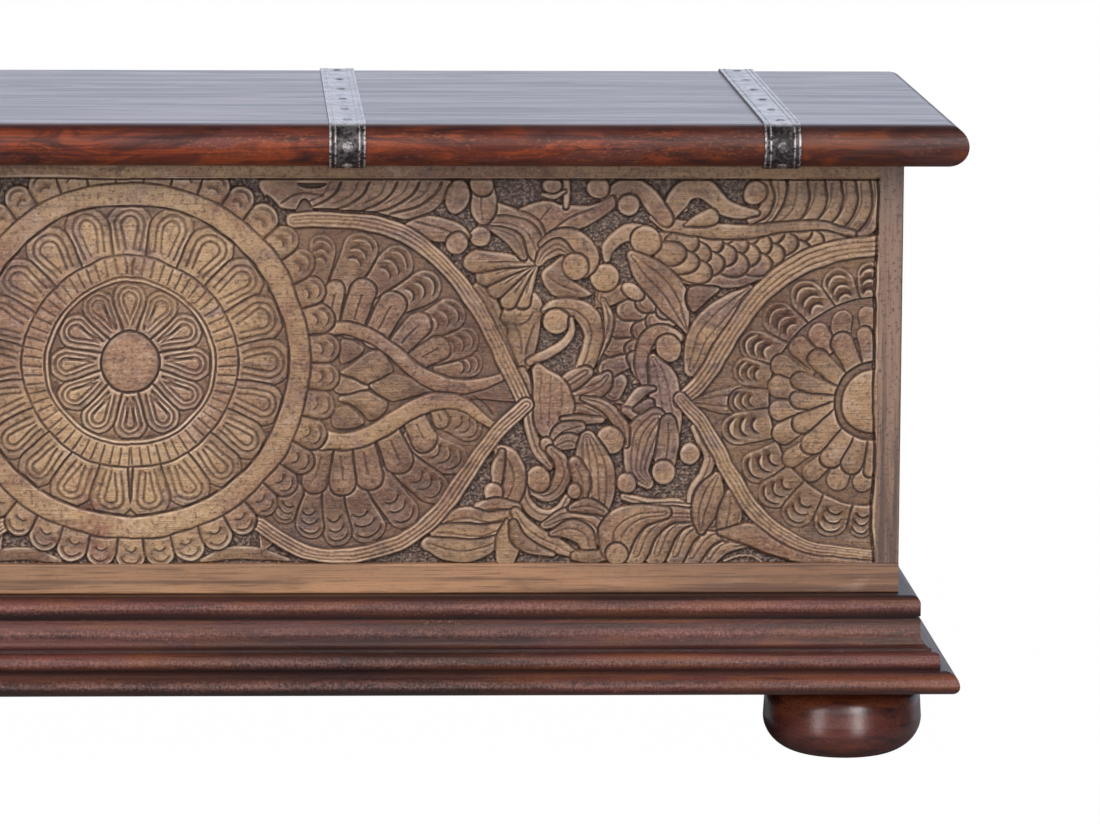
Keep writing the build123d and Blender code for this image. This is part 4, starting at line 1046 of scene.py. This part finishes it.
def lower_foliage(relief):
    """The bud, the spiral under it and the finger leaves down to the foot of the board."""
    relief.leaf([(282, 282, 3), (284, 270, 4), (286, 256, 3)], TOP - 0.2)
    relief.leaf([
        (284, 262, 3.6), (287, 247, 3.4), (291, 233, 3.4), (296, 222, 3.2), (303, 213, 2.4),
    ], TOP + 0.1, lines=(-0.1,))
    for points in (
        [(316, 256, 5), (325, 259, 6), (335, 255, 4.4), (342, 250, 2)],
        [(315, 264, 5), (327, 268, 6.4), (338, 273, 6), (343, 280, 3)],
        [(312, 270, 4), (320, 276, 5.4), (328, 282, 4)],
    ):
        relief.leaf(points, TOP - 0.1, lines=(-0.2, 0.3))
    relief.blob([
        (290, 284), (289.5, 271), (289, 256), (291, 244), (296, 235), (304, 233), (311, 237.6), (318, 245),
        (321, 254), (319.5, 262.6), (316, 272.6), (310, 279), (302, 283), (295, 288),
    ], TOP + 0.3, swell=9.0)
    for points in (
        [(297, 280), (295, 262), (297, 244)], [(304, 279), (303, 260), (303, 240)],
        [(311, 274), (312, 258), (309, 243)],
    ):
        relief.line(points, 0.8, 0.9)
    relief.leaf([
        (326, 263, 1.5), (338, 259.5, 3.2), (348, 252, 3.8), (355.5, 242, 3.8), (357.5, 230, 2.2),
    ], TOP + 0.1, lines=(0.1,))
    relief.leaf([(313, 247.5, 1.6), (326, 247, 2.6), (340, 247.5, 2)])
    relief.leaf([(307, 231, 3), (314, 238, 5.4), (325, 242, 3)], lines=(0.0,))
    relief.leaf([(309, 227, 3), (318, 231, 5), (326, 228, 2)], lines=(0.0,))
    relief.knob(346.5, 232.6, 10.5)
    relief.knob(301.5, 228.5, 5.5)
    # spiral under the bud
    relief.leaf([
        (305, 224, 3), (311, 217, 4), (312.5, 207, 4.4), (307, 198, 4.4), (298, 194, 3.4), (288, 196, 2),
    ], lines=(0.1,))
    relief.knob(294, 204.5, 9.4)
    relief.leaf([
        (283, 200, 2.4), (284, 190, 3.4), (290, 182, 3.6), (300, 178.5, 3.8), (309, 182, 3.6),
        (314.5, 191, 2.4),
    ], lines=(0.1,))
    relief.leaf(
        [(263, 228, 2), (273, 218, 6), (277.5, 206, 6.4), (274, 194, 6), (268, 188, 2.4)], lines=(-0.1,),
    )
    relief.leaf([(268, 224, 2), (265, 213, 3.6), (264, 203, 3)], TOP - 0.1)
    relief.knob(261, 195, 7.4)
    # ribbed upright leaf
    relief.leaf([
        (336, 184, 7), (336, 198, 10.5), (335, 213, 10), (332, 226, 7), (330, 234, 4),
    ], lines=(-0.55, -0.15, 0.25, 0.6))
    relief.leaf([(326, 190, 2.4), (326, 202, 5), (322, 214, 4)], lines=(0.0,))
    relief.knob(320, 196, 5.4)
    # finger leaves by the corner of the border
    relief.leaf([(277, 184, 3.4), (262, 184.5, 5.4), (251, 183, 3.6)], lines=(0.2,))
    relief.leaf([(275, 178, 4), (258, 173.5, 6), (241, 176, 6.4), (227, 173, 4)], lines=(0.0,))
    relief.leaf([(270, 169, 4), (254, 163.5, 6.4), (237, 164, 6.6), (221, 166, 4.4)], lines=(0.0,))
    relief.leaf([(262, 158, 4), (246, 152.5, 6.4), (230, 153, 6.6), (215, 157, 4.4)], lines=(0.0,))
    relief.leaf([(271, 146, 5), (272.5, 157, 7), (272, 167, 4.4), (271, 174, 1.4)])
    relief.leaf([
        (277, 181, 3), (284, 171, 4.6), (295, 162.5, 5), (308, 156, 4.6), (322, 148.5, 2),
    ], TOP + 0.1, lines=(0.0,))
    relief.leaf([(276, 172, 2.6), (281, 160, 4.4), (292, 153.5, 3.4), (306, 149, 1.6)], TOP - 0.2)
    relief.leaf([
        (300, 172, 3), (312, 177, 5.4), (325, 177.5, 6.4), (336, 172, 7), (341, 161, 5),
    ], lines=(-0.2, 0.4))
    relief.leaf([(305, 165, 2), (316, 168, 5.4), (326, 164.5, 6), (331, 155, 4)], lines=(0.1,))
    relief.leaf([(318, 184, 2.6), (329, 185.5, 4.6), (341, 181, 3)], TOP - 0.1, lines=(0.0,))
    relief.leaf([(322, 148, 3), (332, 147.5, 4), (341, 149, 3)], TOP - 0.4)
    # acanthus
    relief.leaf(
        [(356, 192, 2), (366, 189.5, 2.8), (380, 186.5, 2.8), (395, 187, 2.8), (405, 181, 2)], lines=(0.0,),
    )
    for points in (
        [(424, 176, 4), (402, 181, 4.6), (378, 181, 5), (358, 181, 4)],
        [(458, 158, 3), (444, 163, 6.6), (428, 160, 7.6), (418, 149, 6)],
        [(446, 166, 4.4), (430, 169, 6.4), (415, 163, 7.4), (405, 150, 6.6)],
        [(434, 171, 4.4), (417, 174, 5.4), (401, 166, 7.4), (392, 150, 6.8)],
        [(421, 175, 4.4), (403, 177, 5.4), (387, 168, 7.4), (378, 150, 7)],
        [(406, 178, 4), (389, 178, 5.4), (372, 168, 7.4), (363, 151, 7.4)],
        [(386, 180, 4), (367, 178, 7), (352, 168, 10.4), (349, 156, 8.6)],
    ):
        relief.leaf(points, lines=(-0.15, 0.3))
    relief.knob(350, 150.5, 8.2)
    relief.leaf([(414, 168, 3), (415, 180, 7.4), (419, 193, 8.4), (425, 206, 3)], lines=(-0.1, 0.4))
    relief.leaf([(432, 162, 2), (433, 172, 6.4), (435, 183, 6.8), (434, 194, 2.4)], lines=(0.1,))
    relief.leaf(
        [(428, 166, 2), (446, 165, 6), (468, 158, 7.4), (495, 151, 7), (520, 146.5, 5), (541, 144.5, 3.6)],
    )
    relief.line([(437.5, 156), (447.5, 155.6), (460, 150.6), (478, 146)])
    relief.line([(430, 145), (440, 148.5), (450, 148), (457, 144)])
    relief.line([(470, 161), (490, 155), (512, 150)], 0.8)


def ground(relief):
    """The ground beside the scallops of the round medallion, with a smooth tongue at its foot."""
    for points in (
        (
            (44, 147), (56, 156), (66, 168), (78, 178), (90, 171), (104, 157), (116, 148), (104, 145),
            (78, 144),
        ),
        ((98, 410), (99, 402), (105, 396), (110, 398), (105, 405)),
    ):
        relief.pocket(points)
    relief.stand(relief.stroke([(50, 146, 2), (70, 150, 5), (92, 149, 5), (112, 146, 2)]), 2.4, cut=1.0)


def edges(relief):
    """The plain strip above the carving and the double line at its end."""
    relief.height[relief.z >= STRIP] = FACE
    relief.height[:, relief.x >= END_LINE + 1.0] = FACE - 0.6
    relief.line([(END_LINE, 141), (END_LINE, 280), (END_LINE, 430)], 2.6, 1.2)
    relief.line([(-8, STRIP - 0.4), (270, STRIP - 0.4), (545, STRIP - 0.4)], 2.2, 1.0)


def carve():
    """The whole half field, the later forms cut over the earlier ones."""
    relief = Relief()
    relief.fullness = 1.32                       # the leaves crowd each other, with little ground between
    top_leaves(relief)
    long_body(relief)
    s_scroll(relief)
    middle_foliage(relief)
    upper_foliage(relief)
    lower_foliage(relief)
    relief.fullness = 1.0
    relief.height[relief.height == BED] = GROUND
    ground(relief)
    # inside the medallions there is no ground; the one at the end closes beyond the board
    for border in (LEAF_BORDER + LEAF_BORDER_LOW, END_BORDER + END_BORDER_LOW + [(570, 180), (570, 340)]):
        inside = relief.outline([point[:2] for point in border])
        relief.height[inside.window][inside.far < 0] = BED
    leaf_medallion(relief)
    end_medallion(relief)
    round_medallion(relief)
    edges(relief)
    return relief


# ---- The carved front board, in closed blocks side by side
TILES = 8
PITCH = 0.68                      # millimetres between the points of the carved face
STIPPLE = 2.3                     # from one punch mark to the next in the ground
STRAY = 0.6                       # how far a punch mark lands from its place
PUNCH = 1.2                       # how far a punch mark reaches
DENT = 1.6                        # how deep it is, and the height it leaves alone
SWAY = 0.5                        # how far the left half strays from the right one's mirror image


def softened(values, reach):
    """The values averaged over a neighbourhood, with reach in cells."""
    rows, columns = (np.fft.fftfreq(size)[:, None] for size in values.shape)
    spread = np.exp(-2 * (math.pi * reach) ** 2 * (rows ** 2 + columns.T ** 2))
    return np.real(np.fft.ifft2(np.fft.fft2(values) * spread))


def uneven(shape, reach, seed):
    """Gentle random swells between about -1 and 1, the same on every run."""
    swells = softened(np.random.default_rng(seed).standard_normal(shape), reach)
    return swells / (2.2 * swells.std())


def punched(relief):
    """The ground between the forms, roughened with a round punch."""
    height, luck = relief.height, np.random.default_rng(11)
    for x in np.arange(FIELD[0], FIELD[1], STIPPLE):
        for z in np.arange(FIELD[2], FIELD[3], STIPPLE):
            px, pz = x + luck.uniform(-STRAY, STRAY), z + luck.uniform(-STRAY, STRAY)
            column, row = int((px - FIELD[0]) / CELL), int((pz - FIELD[2]) / CELL)
            if not (2 < column < height.shape[1] - 3 and 2 < row < height.shape[0] - 3):
                continue
            if height[row, column] > GROUND:
                continue
            window, wx, wz = relief.window((px - PUNCH, pz - PUNCH), (px + PUNCH, pz + PUNCH), 0)
            mark = np.exp(-((wx - px) ** 2 + (wz - pz) ** 2) / 0.65)
            height[window] -= DENT * mark * np.clip(DENT - height[window], 0, 1)


def sampled(values, x, z):
    """The grid's values at any places, blended between its cells."""
    column = np.clip((x - FIELD[0]) / CELL, 0, values.shape[1] - 1.001)
    row = np.clip((z - FIELD[2]) / CELL, 0, values.shape[0] - 1.001)
    c, r = column.astype(int), row.astype(int)
    u, v = column - c, row - r
    low = values[r, c] * (1 - u) + values[r, c + 1] * u
    high = values[r + 1, c] * (1 - u) + values[r + 1, c + 1] * u
    return low * (1 - v) + high * v


def carved_heights():
    """The heights of the carved half, and how deep in a cut (to 1) or proud on an edge (to -1) each
    place is."""
    relief = carve()
    punched(relief)
    shape = relief.height.shape
    x, z = np.meshgrid(relief.x, relief.z)
    # the hand strays a little from what is drawn, except beside the plain strip
    free = np.clip((STRIP - 3.0 - z) / 12.0, 0, 1)
    x += free * (1.6 * uneven(shape, 26, 7) + 0.5 * uneven(shape, 8, 8))
    z += free * (1.6 * uneven(shape, 26, 9) + 0.5 * uneven(shape, 8, 10))
    # worn a little round, and no two places are equally high
    height = softened(sampled(relief.height, x, z), 0.55)
    height += 0.30 * uneven(shape, 14, 3) + 0.06 * uneven(shape, 2.5, 5)
    # how far each place lies below its near and its wide surroundings
    fine, wide = softened(height, 1.7), softened(height, 6.0)
    cut = np.clip((fine - height) / 0.75, -1, 1) * 0.8 + np.clip((wide - height) / 2.6, -1, 1) * 0.45
    cut *= 0.92 + 0.34 * uneven(shape, 18, 13)
    plain = relief.z >= STRIP + 0.8
    height[plain], cut[plain] = FACE, 0.0
    return np.clip(height, -1.0, FACE), cut


def closed_grid(name, across, up):
    """A flat grid with its border drawn out and closed behind: its mesh, and the column and row of
    each point. The points and faces of the grid come first."""
    shape = bmesh.new()
    bmesh.ops.create_grid(shape, x_segments=across, y_segments=up, size=0.5)
    border = [edge for edge in shape.edges if edge.is_boundary]
    drawn = bmesh.ops.extrude_edge_only(shape, edges=border)["geom"]
    shape.verts.index_update()
    shape.faces.index_update()

    def order(face):
        """The sides are made in another order each run, so they are sorted by their edge of the grid."""
        if face.index < across * up:
            return face.index
        first, second = sorted(point.index for point in face.verts)[:2]
        return across * up + first * len(shape.verts) + second

    shape.faces.sort(key=order)
    rim = [part for part in drawn if isinstance(part, bmesh.types.BMEdge) and part.is_boundary]
    bmesh.ops.edgeloop_fill(shape, edges=rim)
    mesh = bpy.data.meshes.new(name)
    shape.to_mesh(mesh)
    shape.free()
    places = np.empty(3 * len(mesh.vertices))
    mesh.vertices.foreach_get("co", places)
    column = np.rint((places[0::3] + 0.5) * across).astype(int)
    row = np.rint((places[1::3] + 0.5) * up).astype(int)
    return mesh, column, row


def smooth_face(mesh, faces, normals):
    """Give the first faces of a mesh the normals of their points, and leave the others flat."""
    corners = np.empty(len(mesh.loops), int)
    mesh.loops.foreach_get("vertex_index", corners)
    mesh.polygons.foreach_set("use_smooth", np.arange(len(mesh.polygons)) < faces)
    corner_normals = np.zeros((len(corners), 3))
    carved = np.arange(len(corners)) < 4 * faces
    corner_normals[carved] = normals[corners[carved]]
    mesh.update()
    mesh.normals_split_custom_set(corner_normals.tolist())


def board_block(name, columns, rows, height, cut, back):
    """One closed block of the board, over some of its columns."""
    across, up = len(columns) - 1, len(rows) - 1
    mesh, column, row = closed_grid(name, across, up)
    x, z = columns[column], rows[row]
    front = np.arange(len(x)) < len(columns) * len(rows)
    # the left half repeats the right one, a little differently, as a hand does
    sway = SWAY * np.sin(x / 23.0 + z / 31.0) * (x < 0)
    at_x, at_z = np.abs(x) + sway * np.clip(np.abs(x) / 20.0, 0, 1), z - LIFT + sway
    tall = np.where(front, sampled(height, at_x, at_z), 0.0)
    places = np.stack([x * MM, np.where(front, FRONT + (FACE - tall) * MM, back), z * MM], 1)
    mesh.vertices.foreach_set("co", places.ravel())
    for label, values in (("height", tall / FACE), ("cut", sampled(cut, at_x, at_z) * front)):
        mesh.attributes.new(label, "FLOAT", "POINT").data.foreach_set("value", values)
    # normals worked out from the heights, so that neighbours join without a line
    slope_x = (sampled(height, at_x + CELL, at_z) - sampled(height, at_x - CELL, at_z)) / (2 * CELL)
    slope_z = (sampled(height, at_x, at_z + CELL) - sampled(height, at_x, at_z - CELL)) / (2 * CELL)
    mirrored = np.where(x < 0, -1.0, 1.0)
    normals = np.stack([-slope_x * mirrored, -np.ones(len(x)), -slope_z], 1)
    normals /= np.linalg.norm(normals, axis=1, keepdims=True)
    smooth_face(mesh, across * up, normals)
    block = bpy.data.objects.new(name, mesh)
    bpy.context.scene.collection.objects.link(block)
    mesh.materials.append(CARVED)
    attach(block, "case")
    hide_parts("front_carved_board")


low_corner, high_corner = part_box("front_carved_board")
FRONT = low_corner[1]
LIFT = low_corner[2] / MM - BOARD_FOOT
heights, cuts = carved_heights()
left, right, foot = low_corner[0] / MM, high_corner[0] / MM, low_corner[2] / MM
plain_start = LIFT + STRIP + 1.0
board_columns = np.linspace(left, right, round((right - left) / PITCH) + 1)
board_rows = np.concatenate([
    np.linspace(foot, plain_start, round((plain_start - foot) / PITCH) + 1),
    [plain_start + 2.0, plain_start + 6.0, high_corner[2] / MM],
])
joints = np.linspace(0, len(board_columns) - 1, TILES + 1).round().astype(int)
for number, (first, last) in enumerate(zip(joints, joints[1:]), 1):
    board_block(
        f"carved_board_{number}", board_columns[first:last + 1], board_rows, heights, cuts, high_corner[1],
    )


# ---- Floor, light and camera
WARM, WHITE = (1.0, 0.955, 0.89), (1.0, 1.0, 1.0)


def floor():
    """A wide pale floor that keeps the chest's shadow and is white where it is seen."""
    shape = bmesh.new()
    bmesh.ops.create_grid(shape, x_segments=1, y_segments=1, size=30.0)
    mesh = bpy.data.meshes.new("studio_floor")
    shape.to_mesh(mesh)
    shape.free()
    ground = bpy.data.objects.new("studio_floor", mesh)
    bpy.context.scene.collection.objects.link(ground)
    white = Finish("studio_white")
    paint = white.node("ShaderNodeBsdfDiffuse", inputs={"Color": (0.42, 0.42, 0.44, 1.0)})
    glow = white.node("ShaderNodeEmission", inputs={"Color": (1.0, 1.0, 1.0, 1.0), "Strength": 1.0})
    seen = white.node("ShaderNodeLightPath", output="Is Camera Ray")
    shown = white.node("ShaderNodeMixShader", inputs={0: seen * 0.995, 1: paint, 2: glow})
    white.end("ShaderNodeOutputMaterial", shown)
    mesh.materials.append(white.material)


def world():
    """Soft surroundings: white to the camera, and a cool sweep of light behind for the gloss."""
    surroundings = bpy.data.worlds.new("studio")
    bpy.context.scene.world = surroundings
    surroundings.use_nodes = True
    sky = Nodes(surroundings.node_tree)
    seen = sky.node("ShaderNodeLightPath", output="Is Camera Ray")
    gloss = sky.node("ShaderNodeLightPath", output="Is Glossy Ray")
    way = sky.node("ShaderNodeTexCoord", output="Generated")
    behind = sky.node("ShaderNodeSeparateXYZ", inputs={0: way}, output="Y").between(0.38, 0.64)
    shine = sky.mix((0.15, 0.15, 0.16, 1.0), (0.76, 0.83, 1.0, 1.0), behind)
    light = sky.mix((0.52, 0.52, 0.54, 1.0), shine, gloss)
    light = sky.mix(light, (1.0, 1.0, 1.0, 1.0), seen)
    shown = sky.node("ShaderNodeBackground", inputs={"Color": light, "Strength": 1.0})
    sky.end("ShaderNodeOutputWorld", shown)


def lamp(name, kind, power, place, target, shine, **settings):
    """A warm lamp that lights the surfaces, or with shine a white one that is seen only in their gloss."""
    data = bpy.data.lights.new(name, kind)
    data.energy = power
    data.color = WHITE if shine else WARM
    for setting, value in settings.items():
        setattr(data, setting, value)
    light = bpy.data.objects.new(name, data)
    light.location = place
    light.rotation_euler = (Vector(target) - Vector(place)).to_track_quat("-Z", "Y").to_euler()
    light.visible_glossy, light.visible_diffuse = shine, not shine
    bpy.context.scene.collection.objects.link(light)


def camera():
    """Seen from the front, slightly right of the chest's middle and above it, through a long lens."""
    place = Vector((65.449, -4840.167, 921.066)) * MM
    turn, dip, roll = 0.0508, 0.1416, 0.0066
    frame_width, focal_pixels, sensor = 1100.0, 6529.64, 36.0
    ahead = Vector((math.sin(turn) * math.cos(dip), math.cos(turn) * math.cos(dip), -math.sin(dip)))
    data = bpy.data.cameras.new("camera")
    data.sensor_width = sensor
    data.lens = focal_pixels * sensor / frame_width
    data.clip_end = 100.0
    eye = bpy.data.objects.new("camera", data)
    side = ahead.cross(Vector((0.0, 0.0, 1.0))).normalized()
    above = side.cross(ahead)
    turned_side = math.cos(roll) * side + math.sin(roll) * above
    turned_above = -math.sin(roll) * side + math.cos(roll) * above
    turned = Matrix((turned_side, turned_above, -ahead)).transposed().to_4x4()
    eye.matrix_world = Matrix.Translation(place) @ turned
    bpy.context.scene.collection.objects.link(eye)
    bpy.context.scene.camera = eye


# Name, power, place, target, width, height, and whether it is seen in gloss alone
SOFT_BOXES = (
    ("left_sweep", 46.0, (-0.8, -2.6, 2.4), (-0.1, 0.0, 0.25), 2.0, 1.2, False),
    ("low_fill", 29.0, (0.0, -4.4, 0.7), (0.0, 0.0, 0.25), 2.0, 1.0, False),
    ("front_box", 15.0, (0.2, -4.2, 2.1), (0.3, 0.0, 0.2), 3.0, 0.6, True),
    ("left_box", 34.0, (-2.0, -3.2, 1.1), (0.5, 0.0, 0.1), 0.8, 2.0, True),
    ("right_box", 48.0, (1.76, -3.77, 1.1), (0.5, 0.0, 0.1), 0.8, 2.0, True),
    ("left_window", 26.0, (-1.8, -2.9, 2.3), (0.5, 0.0, 0.1), 1.0, 0.8, True),
    ("right_window", 64.0, (1.66, -3.4, 2.5), (0.5, 0.0, 0.1), 1.0, 0.9, True),
)
bpy.context.scene.view_settings.view_transform = "Standard"
floor()
world()
lamp("key_sun", "SUN", 1.55, (-1.2, -4.0, 4.6), (0.0, 0.0, 0.2), False, angle=math.radians(60))
for name, power, place, target, width, tall, shine in SOFT_BOXES:
    lamp(name, "AREA", power, place, target, shine, shape="RECTANGLE", size=width, size_y=tall)
camera()
